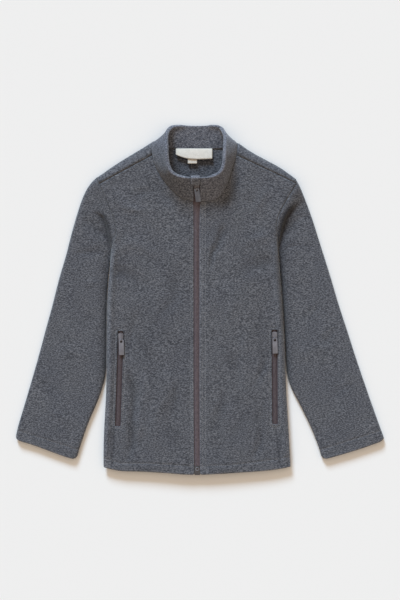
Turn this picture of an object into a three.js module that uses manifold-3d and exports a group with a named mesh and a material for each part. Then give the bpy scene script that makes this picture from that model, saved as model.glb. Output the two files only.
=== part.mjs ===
// Child's fleece zip jacket, laid flat on its back, front up, sleeves down beside the body.
// Millimetres. +X to the right as seen from above, +Y to the collar, +Z up, floor at z = 0.
import * as THREE from 'three';
import { mergeVertices } from 'three/addons/utils/BufferGeometryUtils.js';
import Module from 'manifold-3d';

const wasm = await Module();
wasm.setup();

// Cloth
const FLEECE = 2.2;
const TURNED = 3.4;
const TURN_DEPTH = 15.5;
const TURN_STEP = 1.5;
const COLLAR_WALL = 3.6;
const SEAM_GAP = 0.35;
const LABEL_CLOTH = 0.8;

// Body cross-section at its side: round edge, curling under to the side seam
const EDGE_HEIGHT = 9;
const EDGE_ROUND = 8;
const UNDER_WIDTH = 16;
const UNDER_FADE = 14;
const TUCK_FADE = 70;
const CROWN_FALL = 2.4;
const BODY_HALF = 150;
const BODY_MIDDLE = -5;

// Sleeves
const SLEEVE_HEIGHT = 8.2;
const CUFF_HEIGHT = 8.4;
const SLEEVE_CLEARANCE = 0.45;
const DROP_OUT = 6;
const DROP_WIDTH = 14;
const DROP_FADE = 48;
const TIP_RAISE = 5;
const TIP_REACH = 28;
const SEAM_FADE = 0.26;

// Main zip
const ZIP_OPENING = 9.8;
const TAPE_WALL = 0.8;
const TAPE_HIDDEN = 8;
const CHAIN_HALF = 2.6;
const CHAIN_RISE = 1.1;
const TAPE_GAP = 0.35;
const BOX_LENGTH = 14.6;
const BOX_WIDTH = 9;
const BOX_HEIGHT = 3.2;
const BOX_DROP = 0.8;

// Pocket zips
const SLIT_WIDTH = 9.5;
const SLIT_DEPTH = 30;
const POCKET_TAPE_WIDTH = 20;
const POCKET_TAPE_DROP = 0.5;
const POCKET_CHAIN = 5;
const POCKET_CHAIN_RISE = 1.2;
const POCKET_END = 6;

// Slider and pull tab
const SLIDER_WIDTH = 8.2;
const SLIDER_LENGTH = 13;
const SLIDER_THICK = 1.8;
const SLIDER_TAPER = 0.8;
const SLIDER_CLEARANCE = 0.3;
const BRIDGE_WIDTH = 1.6;
const BRIDGE_REACH = 2.3;
const BRIDGE_RISE = 3.6;
const BRIDGE_INSIDE = 2.6;
const BRIDGE_WALL = 1.0;
const BRIDGE_CORNER = 0.8;
const PULL_WIDTH = 8;
const PULL_LENGTH = 24.5;
const PULL_THICK = 1.3;
const PULL_LIFT = 0.6;
const PULL_EYE = 3.8;
const PULL_EYE_LENGTH = 3.4;
const PULL_BAR = 1.4;
const BRIDGE_OFFSET = 4;
const MAIN_PULL_TILT = 0.12;
const MAIN_SLIDER_SHARE = 0.46;
const MAIN_SLIDER_LIFT = 0.2;

// Chin guard
const GUARD_LENGTH = 12;
const GUARD_INSIDE = 7;
const GUARD_WIDTH = 13.6;
const GUARD_WALL = 1.6;
const GUARD_GAP = 0.4;
const GUARD_INNER_GAP = 1.0;

// Grid counts
const ACROSS = 12;
const FLAT_SHARE = 7;
const NECK_FRONT = 9;
const ARM_TOP = 8;
const ARM_UNDER = 6;
const ARM_FOLD = 6;
const CROTCH = 2;
const CROTCH_REACH = 8;
const SIDE_ROWS = 12;
const ZIP_ROWS = 13;
const SLEEVE_RINGS = 15;
const RING_CROWD = 1.25;
const COLLAR_ROWS = 6;
const ROW_STEPS = 90;
const CURL_SHARE = 0.86;
const EDGE_CROWD = 1.6;
const CLOSE_IN = 8;

// Hem edge seen from above: x, y
const HEM = [
  [-155, -266], [-147, -269], [-128, -275], [-90, -275], [-51, -277], [-13, -280],
  [45, -278], [83, -274], [122, -269], [146, -264],
];

// Height of the laid front above the floor at the middle: y, z
const CROWN = [
  [-285, 12.8], [-200, 13.6], [-100, 15], [0, 16.8], [80, 18.2], [150, 19.2], [240, 19.4],
];

// Middle of the main zip: y, x
const ZIP_LINE = [[-285, -4.2], [-150, -5.3], [200, -5.3]];

// Soft folds in the laid cloth: start x, y, end x, y, half width, height
const FOLDS = [
  [-104, -20, -96, -250, 16, -1.1],
  [-84, 40, -76, -240, 18, 0.9],
  [100, 40, 96, -180, 20, -0.9],
  [-40, 120, -70, -90, 24, 0.8],
  [34, 130, 20, 20, 20, -1.0],
  [-110, 130, -60, 60, 26, -0.8],
];

// Per side, sign is the way out from the middle of the body
const LEFT = {
  name: 'left',
  sign: -1,
  // Body edge, then the fold it runs into on the sleeve: y, x
  edge: [
    [-266, -155], [-230, -155], [-203, -154], [-178, -152], [-146, -150], [-35, -149],
    [6, -148], [50, -145.5], [82, -142], [106, -145], [138, -154], [168, -163], [200, -174],
  ],
  armpit: [-142, 82],
  // Armhole seam on the front, from above the armpit to the shoulder seam: x, y
  armSeam: [[-138, 95], [-134, 108], [-134, 122], [-140, 138], [-149, 160], [-161, 186]],
  shoulderTip: [-166, 196.5],
  // Outline over the shoulder from the armhole to the neck: x, y
  shoulderLine: [[-166, 196.5], [-160, 200], [-142, 213], [-122, 226], [-102, 238], [-79, 252]],
  // Neck seam on the front, from the zip to the shoulder seam: x, y
  neckSeam: [[-10.6, 158], [-26, 162], [-38, 171], [-53, 187], [-64, 202], [-72, 217], [-76.5, 232]],
  // Neck seam round the side to the back: x, y, lean x, lean y, height, turn
  neckWrap: [
    [-76.5, 232, -2.5, 20, 18, 0.8], [-76.3, 233, -2, 19.5, 18, 0.64],
    [-75, 234, -1.5, 19, 18, 0.5], [-71.5, 234, -0.5, 18, 17, 0.36],
    [-65, 233.5, 0, 18, 10, 0.2], [-56, 232.5, 0, 18, 0, 0.2],
  ],
  // Outer outline of the sleeve from the shoulder to the cuff: x, y
  sleeveOut: [
    [-166, 196.5], [-176, 187], [-184, 174], [-189, 162], [-197, 136], [-205, 110], [-214, 72],
    [-226, 34], [-235, -5], [-246, -43], [-256, -82], [-267, -120], [-278, -158], [-290, -197],
    [-295.5, -222],
  ],
  // Inner outline of the sleeve below the body: x, y
  sleeveIn: [[-153, -131], [-162, -158], [-174, -184], [-184, -210], [-192, -235], [-197, -254]],
  pocket: [[-126, -48], [-131, -200]],
  // Pull tab hinge below the top of the pocket opening, and how the loose tab lies
  sliderAt: 14.2,
  pullShift: 0.8,
  pullTilt: 0.06,
};

const RIGHT = {
  name: 'right',
  sign: 1,
  edge: [
    [-264, 146], [-242, 144], [-203, 142], [-178, 140], [-152, 138], [-114, 137], [-30, 133],
    [59, 127], [96, 125.5], [118, 131], [146, 149], [168, 161], [200, 172],
  ],
  armpit: [125.5, 96],
  armSeam: [[123, 107], [121.5, 118], [123, 130], [129, 144], [140, 164], [154, 187]],
  shoulderTip: [152, 196],
  shoulderLine: [[152, 196], [146, 200], [128, 213], [104, 226], [82, 238], [62, 252]],
  neckSeam: [[0, 158], [14, 159], [26, 162], [37, 173], [46, 194], [52, 215], [58, 232]],
  neckWrap: [
    [58, 232, 2.5, 20, 18, 0.8], [57.8, 233, 2, 19.5, 18, 0.64],
    [56.5, 234, 1.5, 19, 18, 0.5], [53, 234, 0.5, 18, 17, 0.36],
    [47, 233.5, 0, 18, 10, 0.2], [38, 232, 0, 18, 0, 0.2],
  ],
  sleeveOut: [
    [152, 196], [158, 187], [163, 174], [168, 162], [178, 136], [186, 110], [198, 72], [210, 34],
    [221, -5], [234, -43], [246, -82], [259, -120], [272, -158], [286, -197], [295.5, -222],
  ],
  sleeveIn: [[140, -131], [150, -146], [162, -171], [181, -210], [190, -235], [195, -254]],
  pocket: [[119, -46], [120, -197]],
  sliderAt: 13.9,
  pullShift: 0.2,
  pullTilt: 0.02,
};

// Top edge of the collar round the neck: place along the neck seam, x, y, z
const COLLAR_RIM = [
  [0, -10.6, 194.5, 45], [2, -24, 195, 45.5], [4, -38, 198, 46], [6, -49, 207.5, 46],
  [8, -52.5, 226, 45], [10, -53, 246, 40], [11.5, -54, 261, 31], [13, -52, 272, 20],
  [15, -43, 280, 9], [18, -3, 279.5, 5], [21, 30, 280, 9], [23, 38, 272, 20],
  [24.5, 41, 261, 31], [26, 40, 247, 40], [28, 39.5, 227, 45], [30, 37.5, 210, 46],
  [32, 28, 199.5, 46], [34, 14, 195.5, 45.5], [36, 0, 195, 45],
];
const COLLAR_PUFF = 1.6;
const NECK_DIP = 1.4;

// Neck label and size tab: lower edge x, y, and heights of the top and lower edges
const LABEL_TOP = 243.7;
const LABEL_LOWER = [[-38.6, 233.8], [-30, 230], [-20.5, 227.2], [-4.5, 226], [8, 226.6], [19.7, 227]];
const LABEL_HEIGHTS = [5.0, 8.6];
const TAB_TOP = 232;
const TAB_LOWER = [[-19.5, 219.4], [-12, 219], [-4.8, 219.4]];
const TAB_HEIGHTS = [6.5, 7.3];

const vec = (x, y, z = 0) => new THREE.Vector3(x, y, z);

// Smooth value of a rising two-column table
function lookup(table, key) {
  const last = table.length - 1;
  if (key <= table[0][0]) return table[0][1];
  if (key >= table[last][0]) return table[last][1];
  let i = 0;
  while (key > table[i + 1][0]) i += 1;
  const slope = (a, b) => (table[b][1] - table[a][1]) / (table[b][0] - table[a][0]);
  const before = slope(Math.max(i - 1, 0), i + 1);
  const after = slope(i, Math.min(i + 2, last));
  const width = table[i + 1][0] - table[i][0];
  const t = (key - table[i][0]) / width;
  const bend = t * (1 - t) * width * (before * (1 - t) - after * t);
  const ease = t * t * (3 - 2 * t);
  return table[i][1] + (table[i + 1][1] - table[i][1]) * ease + bend;
}

// Evenly spaced points on a smooth curve through plan points
function spread(points, count) {
  const curve = new THREE.CatmullRomCurve3(points.map(([x, y]) => vec(x, y)), false, 'centripetal');
  curve.arcLengthDivisions = 400;
  return curve.getSpacedPoints(count);
}

const ease = (t) => {
  const c = Math.min(Math.max(t, 0), 1);
  return c * c * (3 - 2 * c);
};

const mix = (a, b, t) => a + (b - a) * t;

// Height of soft folds at a plan point
function folds(x, y) {
  let sum = 0;
  for (const [x0, y0, x1, y1, half, height] of FOLDS) {
    const length = Math.hypot(x1 - x0, y1 - y0);
    const along = ((x - x0) * (x1 - x0) + (y - y0) * (y1 - y0)) / length;
    const off = ((x - x0) * (y1 - y0) - (y - y0) * (x1 - x0)) / length;
    const ends = ease(along / half) * ease((length - along) / half);
    sum += height * ends * Math.exp(-((off / half) ** 2));
  }
  return sum;
}

// Outer face of the laid front, away from its side edge
function level(x, y) {
  return lookup(CROWN, y) - CROWN_FALL * ((x - BODY_MIDDLE) / BODY_HALF) ** 2 + folds(x, y);
}

// Distance in from the body edge
function inward(side, x, y) {
  return (lookup(side.edge, y) - x) * side.sign;
}

// Outer face of a front, with its round side edge
function frontHeight(side, x, y) {
  const d = Math.min(Math.max(inward(side, x, y) / EDGE_ROUND, 0), 1);
  return EDGE_HEIGHT + (level(x, y) - EDGE_HEIGHT) * Math.sqrt(1 - (1 - d) ** 2);
}

// Outer face of the part curling under to the side seam
function underHeight(side, x, y) {
  const d = Math.min(Math.max(inward(side, x, y) / UNDER_WIDTH, 0), 1);
  const fade = 1 - ease((y - side.armpit[1]) / UNDER_FADE);
  return EDGE_HEIGHT * (1 - Math.sqrt(1 - (1 - d) ** 2)) * fade;
}

// Fold over the shoulder, from the floor (turn 0) to the shoulder seam (turn 1)
function overFold(base, lean, height, turn) {
  const reach = 4 * turn * (1 - turn);
  return vec(
    base.x + lean.x * reach,
    base.y + lean.y * reach,
    height * turn * turn * (3 - 2 * turn),
  );
}
const FOLD_TURNS = [0.2, 0.36, 0.5, 0.64, 0.8, 1];

// Ways out of the cloth, shared by the two pieces that meet at a seam
function topNormal(side, x, y) {
  const step = 1;
  const slopeX = (frontHeight(side, x + step, y) - frontHeight(side, x - step, y)) / (2 * step);
  const slopeY = (frontHeight(side, x, y + step) - frontHeight(side, x, y - step)) / (2 * step);
  return vec(-slopeX, -slopeY, 1).normalize();
}

function underNormal(side, x, y) {
  const d = Math.min(Math.max(inward(side, x, y) / UNDER_WIDTH, 0), 1);
  const fade = 1 - ease((y - side.armpit[1]) / UNDER_FADE);
  const out = (1 - d) / UNDER_WIDTH * fade;
  const down = Math.sqrt(1 - (1 - d) ** 2) / EDGE_HEIGHT;
  return vec(side.sign * out, 0, -down).normalize();
}

function foldNormal(lean, height, turn) {
  const out = lean.clone().normalize().multiplyScalar(6 * turn * (1 - turn) * height);
  return out.setZ(-4 * (1 - 2 * turn) * lean.length()).normalize();
}

// Armhole seam from the armpit over the front to the shoulder, and under the back again
function armhole(side) {
  const [px, py] = side.armpit;
  const top = spread(side.armSeam, ARM_TOP);
  const first = top[0];
  const seam = [vec(px, py, EDGE_HEIGHT)];
  const near = vec(mix(px, first.x, 0.3), mix(py, first.y, 0.42));
  near.z = frontHeight(side, near.x, near.y);
  seam.push(near);
  for (const p of top) seam.push(vec(p.x, p.y, frontHeight(side, p.x, p.y)));
  const end = seam[seam.length - 1];
  const tip = vec(side.shoulderTip[0] - end.x, side.shoulderTip[1] - end.y);
  const fold = [0, ...FOLD_TURNS].map((turn) => overFold(end, tip, end.z, turn));
  const under = spread([...side.armSeam].reverse(), ARM_UNDER);
  const back = [];
  for (let i = ARM_FOLD - 1; i > 0; i -= 1) back.push(fold[i]);
  for (const p of under.slice(0, -1)) back.push(vec(p.x, p.y, 0));
  const low = under[under.length - 1];
  back.push(vec(low.x, low.y, underHeight(side, low.x, low.y)));
  const lowest = vec(mix(px, low.x, 0.35), mix(py, low.y, 0.5));
  lowest.z = underHeight(side, lowest.x, lowest.y);
  back.push(lowest);
  return { seam, back };
}

// Side seam from the hem to the armpit
function sideSeam(side) {
  const [px, py] = side.armpit;
  const startY = lookup(HEM, side.edge[0][1]);
  const points = [];
  for (let i = 0; i <= SIDE_ROWS; i += 1) {
    const y = rowHeight(startY, py, i, SIDE_ROWS);
    const tuck = UNDER_WIDTH * (1 - ease((y - py + TUCK_FADE) / TUCK_FADE) * 0.999);
    const x = lookup(side.edge, y) - side.sign * tuck;
    points.push(vec(x, y, i === SIDE_ROWS ? EDGE_HEIGHT : underHeight(side, x, y)));
  }
  points[SIDE_ROWS].set(px, py, EDGE_HEIGHT);
  return points;
}

// Rows from a hem: the edge, the top of the turned hem, then even steps
function rowHeight(start, end, i, count) {
  if (i === 0) return start;
  const turned = start + TURN_DEPTH + (i === 1 ? 0 : TURN_STEP);
  if (i <= 2) return turned;
  return mix(turned, end, (i - 2) / (count - 2));
}

const zipEdge = (side, y) => lookup(ZIP_LINE, y) + side.sign * ZIP_OPENING / 2;

// Inner boundary of a front: zip edge, then neck seam
function innerEdge(side) {
  const startY = lookup(HEM, zipEdge(side, -280));
  const points = [];
  const neck = spread(side.neckSeam, NECK_FRONT);
  for (let i = 0; i < ZIP_ROWS; i += 1) {
    const y = rowHeight(startY, neck[0].y, i, ZIP_ROWS);
    const x = zipEdge(side, y);
    points.push(vec(x, y, frontHeight(side, x, y)));
  }
  for (const p of neck) points.push(vec(p.x, p.y, frontHeight(side, p.x, p.y)));
  return points;
}

// One cross row of a front from its inner boundary to its side or armhole seam
function frontRow(side, inner, outer, row) {
  const hooked = row <= SIDE_ROWS;
  const path = [];
  const tucked = Math.min(Math.abs(inward(side, outer.x, outer.y)) / UNDER_WIDTH, 1);
  const under = Math.acos(1 - tucked);
  for (let k = 0; k <= ROW_STEPS; k += 1) {
    const t = k / ROW_STEPS;
    let p;
    if (!hooked) {
      const x = mix(inner.x, outer.x, t);
      const y = mix(inner.y, outer.y, t);
      p = vec(x, y, frontHeight(side, x, y));
    } else {
      let y = mix(inner.y, outer.y, Math.min(t / CURL_SHARE, 1));
      const edgeX = lookup(side.edge, y);
      if (t <= CURL_SHARE) {
        const s = t / CURL_SHARE;
        const x = mix(inner.x, edgeX, 1 - (1 - s) ** EDGE_CROWD);
        if (row === 0) y = Math.min(lookup(HEM, x), outer.y);
        p = vec(x, y, frontHeight(side, x, y));
      } else {
        const turn = under * (t - CURL_SHARE) / (1 - CURL_SHARE);
        const x = edgeX - side.sign * UNDER_WIDTH * (1 - Math.cos(turn));
        p = vec(x, y, EDGE_HEIGHT * (1 - Math.sin(turn)));
      }
    }
    path.push(p);
  }
  const miss = outer.clone().sub(path[ROW_STEPS]);
  path.forEach((p, k) => p.addScaledVector(miss, (k / ROW_STEPS) ** CLOSE_IN));
  return path;
}

// Points at given shares of a path's length
function atShares(path, shares) {
  const run = [0];
  for (let i = 1; i < path.length; i += 1) run.push(run[i - 1] + path[i].distanceTo(path[i - 1]));
  const total = run[run.length - 1];
  return shares.map((share) => {
    const want = share * total;
    let i = 1;
    while (i < path.length - 1 && run[i] < want) i += 1;
    const t = (want - run[i - 1]) / (run[i] - run[i - 1]);
    return path[i - 1].clone().lerp(path[i], Math.min(Math.max(t, 0), 1));
  });
}

// Closed wall from rows of outer points; a seam's own way out is used where one is given
function wall(rows, outward, depth, seamNormal) {
  const high = rows.length;
  const wide = rows[0].length;
  const inner = rows.map((line, r) => line.map((p, c) => {
    const up = rows[Math.min(r + 1, high - 1)][c].clone().sub(rows[Math.max(r - 1, 0)][c]);
    const across = line[Math.min(c + 1, wide - 1)].clone().sub(line[Math.max(c - 1, 0)]);
    const normal = seamNormal(r, c, p) || across.cross(up).normalize().multiplyScalar(outward);
    return p.clone().addScaledVector(normal, -depth(r));
  }));
  return { outer: rows, inner };
}

// Pull one boundary of a grid back from its seam
function backOff(rows, edge, gap = SEAM_GAP / 2) {
  const high = rows.length - 1;
  const wide = rows[0].length - 1;
  const shift = (p, next) => p.addScaledVector(next.clone().sub(p).normalize(), gap);
  if (edge === 'first row') rows[0].forEach((p, c) => shift(p, rows[1][c]));
  if (edge === 'last row') rows[high].forEach((p, c) => shift(p, rows[high - 1][c]));
  if (edge === 'first column') rows.forEach((line) => shift(line[0], line[1]));
  if (edge === 'last column') rows.forEach((line) => shift(line[wide], line[wide - 1]));
}

// Indexed geometry of one closed body, turned to face out
function closed(points, faces) {
  let volume = 0;
  for (const [a, b, c] of faces) {
    volume += points[a].dot(points[b].clone().cross(points[c])) / 6;
  }
  const geometry = new THREE.BufferGeometry();
  geometry.setAttribute(
    'position',
    new THREE.Float32BufferAttribute(points.flatMap((p) => [p.x, p.y, p.z]), 3),
  );
  geometry.setIndex(faces.flatMap(([a, b, c]) => (volume < 0 ? [a, c, b] : [a, b, c])));
  return geometry;
}

// Skin between an outer and an inner grid, open or closed round its columns
function skin({ outer, inner }, ring = false) {
  const high = outer.length;
  const wide = outer[0].length;
  const points = [...outer.flat(), ...inner.flat()];
  const at = (face, r, c) => face * high * wide + r * wide + (c % wide);
  const faces = [];
  const quad = (a, b, c, d) => faces.push([a, b, c], [a, c, d]);
  const columns = ring ? wide : wide - 1;
  for (let r = 0; r < high - 1; r += 1) {
    for (let c = 0; c < columns; c += 1) {
      quad(at(0, r, c), at(0, r, c + 1), at(0, r + 1, c + 1), at(0, r + 1, c));
      faces.push([at(1, r, c), at(1, r + 1, c + 1), at(1, r, c + 1)]);
      faces.push([at(1, r, c), at(1, r + 1, c), at(1, r + 1, c + 1)]);
    }
  }
  for (let c = 0; c < columns; c += 1) {
    quad(at(0, 0, c), at(1, 0, c), at(1, 0, c + 1), at(0, 0, c + 1));
    quad(at(0, high - 1, c + 1), at(1, high - 1, c + 1), at(1, high - 1, c), at(0, high - 1, c));
  }
  if (!ring) {
    for (let r = 0; r < high - 1; r += 1) {
      quad(at(0, r, 0), at(0, r + 1, 0), at(1, r + 1, 0), at(1, r, 0));
      quad(at(0, r, wide - 1), at(1, r, wide - 1), at(1, r + 1, wide - 1), at(0, r + 1, wide - 1));
    }
  }
  return closed(points, faces);
}

// Fronts
const ROW_SHARES = [];
for (let c = 0; c <= ACROSS; c += 1) {
  const curl = [0.835, 0.872, 0.915, 0.957, 1];
  ROW_SHARES.push(c <= FLAT_SHARE ? 0.8 * c / FLAT_SHARE : curl[c - FLAT_SHARE - 1]);
}

function frontRows(side) {
  const inner = innerEdge(side);
  const { seam } = armhole(side);
  const outer = [...sideSeam(side), ...seam.slice(1)];
  return outer.map((end, row) => {
    const even = ease((row - SIDE_ROWS + 3) / 7);
    const shares = ROW_SHARES.map((share, c) => mix(share, c / ACROSS, even));
    const line = atShares(frontRow(side, inner[row], end, row), shares);
    line[0] = inner[row].clone();
    line[ACROSS] = end.clone();
    return line;
  });
}

const clothDepth = (r) => (r <= 1 ? TURNED : FLEECE);

function frontWall(side) {
  const rows = frontRows(side);
  const last = rows.length - 1;
  backOff(rows, 'last column');
  backOff(rows, 'last row');
  rows.slice(ZIP_ROWS).forEach((line) => {
    line[0].addScaledVector(line[1].clone().sub(line[0]).normalize(), SEAM_GAP / 2);
  });
  const seamNormal = (r, c, p) => {
    if (r === last || (c === 0 && r >= ZIP_ROWS)) return topNormal(side, p.x, p.y);
    if (c < ACROSS) return null;
    return r > SIDE_ROWS ? topNormal(side, p.x, p.y) : underNormal(side, p.x, p.y);
  };
  return wall(rows, side.sign, clothDepth, seamNormal);
}

// Back, with the parts that run over the shoulders to the forward seams
function backTop() {
  const tops = [LEFT, RIGHT].map((side) => {
    const seamRow = frontRows(side).pop().reverse();
    const tips = spread(side.shoulderLine, ACROSS);
    const shoulder = seamRow.map((p, i) => ({
      base: p, lean: tips[i].clone().sub(vec(p.x, p.y)), height: p.z, turn: 1,
    }));
    const wrap = side.neckWrap.map(([x, y, leanX, leanY, height, turn]) => ({
      base: vec(x, y), lean: vec(leanX, leanY), height, turn,
    }));
    return [...shoulder, ...wrap];
  });
  const [first, second] = tops;
  const from = first[first.length - 1];
  const to = second[second.length - 1];
  const middle = [];
  for (let i = 1; i < 6; i += 1) {
    const x = mix(from.base.x, to.base.x, i / 6);
    const dip = NECK_DIP * Math.sin(Math.PI * i / 6);
    const base = vec(x, mix(from.base.y, to.base.y, i / 6) - dip);
    middle.push({ base, lean: from.lean, height: 0, turn: 0.2 });
  }
  return [...first, ...middle, ...second.reverse()];
}

const BACK_FLAT = SIDE_ROWS + CROTCH + ARM_UNDER;

function backRows() {
  const columns = backTop();
  const last = columns.length - 1;
  const bounds = [LEFT, RIGHT].map((side) => {
    const { seam, back } = armhole(side);
    return [...sideSeam(side), ...back.reverse(), seam[seam.length - 1]];
  });
  const flat = BACK_FLAT;
  const hemY = (x) => lookup(HEM, x) + 0.6;
  const rows = bounds[0].map((start, r) => {
    const end = bounds[1][r];
    return columns.map((column, c) => {
      if (c === 0) return start.clone();
      if (c === last) return end.clone();
      if (r > flat) {
        const turn = column.turn * FOLD_TURNS[r - flat - 1];
        return overFold(column.base, column.lean, column.height, turn);
      }
      const s = c / last;
      const share = (r <= 2 ? 0 : (r - 2) / (flat - 2));
      const lift = r === 0 ? 0 : (r === 1 ? TURN_DEPTH : TURN_DEPTH + TURN_STEP);
      const hemX = mix(bounds[0][0].x, bounds[1][0].x, s);
      const hem = vec(hemX, hemY(hemX) + lift);
      const low = vec(hemX, hemY(hemX) + TURN_DEPTH + TURN_STEP);
      if (r <= 2) return hem;
      const corner = (b) => b[2].clone().lerp(b[flat], share).setZ(0);
      const leftGap = start.clone().setZ(0).sub(corner(bounds[0]));
      const rightGap = end.clone().setZ(0).sub(corner(bounds[1]));
      const p = low.lerp(column.base, share).setZ(0);
      p.addScaledVector(leftGap, 1 - s).addScaledVector(rightGap, s);
      p.z = Math.max(underHeight(LEFT, p.x, p.y), underHeight(RIGHT, p.x, p.y));
      return p;
    });
  });
  return rows;
}

function backWall() {
  const rows = backRows();
  backOff(rows, 'last row');
  backOff(rows, 'first column');
  backOff(rows, 'last column');
  const columns = backTop();
  const last = columns.length - 1;
  const seamNormal = (r, c, p) => {
    const { lean, height, turn } = columns[c];
    if (r === rows.length - 1) return foldNormal(lean, height, turn);
    if (c > 0 && c < last) return null;
    if (r > BACK_FLAT) return foldNormal(lean, height, FOLD_TURNS[r - BACK_FLAT - 1]);
    return underNormal(c === 0 ? LEFT : RIGHT, p.x, p.y);
  };
  return wall(rows, -1, clothDepth, seamNormal);
}

// Sleeves
function sleeveTop(side, x, y, along) {
  const d = inward(side, x, y);
  const reach = Math.hypot(x - side.shoulderTip[0], y - side.shoulderTip[1]);
  const flat = mix(SLEEVE_HEIGHT, CUFF_HEIGHT, ease((along - 0.7) / 0.3));
  const low = flat + TIP_RAISE * Math.exp(-((reach / TIP_REACH) ** 2));
  const near = ease((y - side.armpit[1] + DROP_FADE) / DROP_FADE);
  return low + (level(x, y) - low) * ease((d + DROP_OUT) / DROP_WIDTH) * near;
}

function pathLine(points) {
  const curve = new THREE.CatmullRomCurve3(points.map(([x, y]) => vec(x, y)), false, 'centripetal');
  curve.arcLengthDivisions = 400;
  return curve;
}

function sleeveInPath(side) {
  const [px, py] = side.armpit;
  const points = [[px + side.sign * SLEEVE_CLEARANCE, py]];
  for (let y = py - 24; y > -125; y -= 30) {
    points.push([lookup(side.edge, y) + side.sign * SLEEVE_CLEARANCE, y]);
  }
  return pathLine([...points, ...side.sleeveIn]);
}

const TOP_SHARES = [];
for (let i = 0; i <= ARM_TOP; i += 1) TOP_SHARES.push(i / ARM_TOP);

// One ring of a sleeve, wound from the armpit over the top and back below
function sleeveRing(side, inPath, outPath, t) {
  const inAt = inPath.getPointAt(t);
  const outAt = outPath.getPointAt(t);
  const inWay = inPath.getTangentAt(t);
  const outWay = outPath.getTangentAt(t);
  const inDir = vec(inWay.y, -inWay.x).multiplyScalar(-side.sign);
  const outDir = vec(outWay.y, -outWay.x).multiplyScalar(-side.sign);
  const width = inAt.distanceTo(outAt);
  const height = (p) => sleeveTop(side, p.x, p.y, t);
  const inRound = height(inAt) / 2;
  const outRound = height(outAt) / 2;
  const from = inAt.clone().addScaledVector(inDir, inRound);
  const to = outAt.clone().addScaledVector(outDir, -outRound);
  const pull = 0.3 * width;
  const cross = new THREE.CubicBezierCurve3(
    from,
    from.clone().addScaledVector(inDir, pull),
    to.clone().addScaledVector(outDir, -pull),
    to,
  );
  const ring = [];
  const arc = (centre, dir, round, angle) => {
    const way = dir.clone().multiplyScalar(Math.cos(angle));
    ring.push({ centre: centre.clone().setZ(round), way, rise: Math.sin(angle), round });
  };
  const quarter = Math.PI / 2;
  arc(from, inDir.clone().negate(), inRound, 0);
  arc(from, inDir.clone().negate(), inRound, quarter / 2);
  TOP_SHARES.forEach((share) => ring.push({ flat: cross.getPointAt(share), top: true }));
  for (let k = 1; k < ARM_FOLD; k += 1) {
    arc(to, outDir, outRound, quarter - k * 2 * quarter / ARM_FOLD);
  }
  for (let k = 0; k <= ARM_UNDER; k += 1) {
    ring.push({ flat: cross.getPointAt(1 - k / ARM_UNDER), top: false });
  }
  arc(from, inDir.clone().negate(), inRound, -quarter / 2);
  return ring;
}

function sleeveWall(side) {
  const inPath = sleeveInPath(side);
  const outPath = pathLine(side.sleeveOut);
  const { seam, back } = armhole(side);
  const loop = [...seam, ...back];
  const length = inPath.getLength();
  const turnShare = TURN_DEPTH / length;
  const places = [];
  for (let k = 0; k <= SLEEVE_RINGS; k += 1) {
    places.push((1 - turnShare * 1.1) * (k / SLEEVE_RINGS) ** RING_CROWD);
  }
  places.push(1 - turnShare, 1);
  const start = sleeveRing(side, inPath, outPath, 0);
  const [px, py] = side.armpit;
  const place = (node, wallDepth, t) => {
    if (node.flat) {
      const z = node.top ? sleeveTop(side, node.flat.x, node.flat.y, t) - wallDepth : wallDepth;
      return node.flat.clone().setZ(z);
    }
    const round = Math.max(node.round - wallDepth, 0.5);
    const p = node.centre.clone().addScaledVector(node.way, round);
    p.z = node.centre.z + node.rise * round;
    return p;
  };
  const outer = [];
  const inner = [];
  places.forEach((t, k) => {
    const ring = sleeveRing(side, inPath, outPath, t);
    const depth = k >= places.length - 2 ? TURNED : FLEECE;
    const keep = Math.max(1 - t / SEAM_FADE, 0) ** 2;
    const line = [];
    const lining = [];
    ring.forEach((node, i) => {
      const at = place(node, 0, t);
      const base = place(start[i], 0, 0);
      const miss = loop[i].clone().sub(base).multiplyScalar(keep);
      const inset = place(node, depth, t);
      const p = at.clone().add(miss);
      if (k > 0) {
        const out = -inward(side, p.x, p.y);
        const limit = i < CROTCH ? py + CROTCH_REACH : py;
        if (p.y < limit && out < SLEEVE_CLEARANCE) {
          p.x += side.sign * (SLEEVE_CLEARANCE - out);
          if (node.flat) inset.x += side.sign * depth;
        }
        if (node.flat) p.z = node.top ? sleeveTop(side, p.x, p.y, t) : 0;
      }
      const q = inset.add(p.clone().sub(at));
      if (node.flat) q.z = node.top ? p.z - depth : p.z + depth;
      line.push(p);
      lining.push(q);
    });
    outer.push(line);
    inner.push(lining);
  });
  const shoulder = seam[seam.length - 1];
  const tip = vec(side.shoulderTip[0] - shoulder.x, side.shoulderTip[1] - shoulder.y);
  outer[0].forEach((p, i) => {
    const step = outer[1][i].clone().sub(p).normalize().multiplyScalar(SEAM_GAP / 2);
    if (i <= CROTCH || i === loop.length - 1) step.set(side.sign * SEAM_GAP, 0, 0);
    p.add(step);
    inner[0][i].add(step);
    const fold = i - (seam.length - 1);
    let normal = null;
    if (i > CROTCH - 1 && fold <= 0) normal = topNormal(side, p.x, p.y);
    if (fold > 0 && fold < ARM_FOLD) normal = foldNormal(tip, shoulder.z, FOLD_TURNS[ARM_FOLD - 1 - fold]);
    if (normal) inner[0][i] = p.clone().addScaledVector(normal, -FLEECE);
  });
  return { outer, inner };
}

// Collar
function neckLoop() {
  const half = (side) => {
    const front = spread(side.neckSeam, NECK_FRONT)
      .map((p) => vec(p.x, p.y, frontHeight(side, p.x, p.y)));
    const wrap = side.neckWrap.map(([x, y, leanX, leanY, height, turn]) => (
      overFold(vec(x, y), vec(leanX, leanY), height, turn)));
    return [...front, ...wrap];
  };
  const rows = backRows();
  const topRow = rows[rows.length - 1];
  const first = ACROSS + LEFT.neckWrap.length;
  const middle = topRow.slice(first + 1, topRow.length - 1 - first);
  return [...half(LEFT), ...middle, ...half(RIGHT).reverse()];
}

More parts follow.
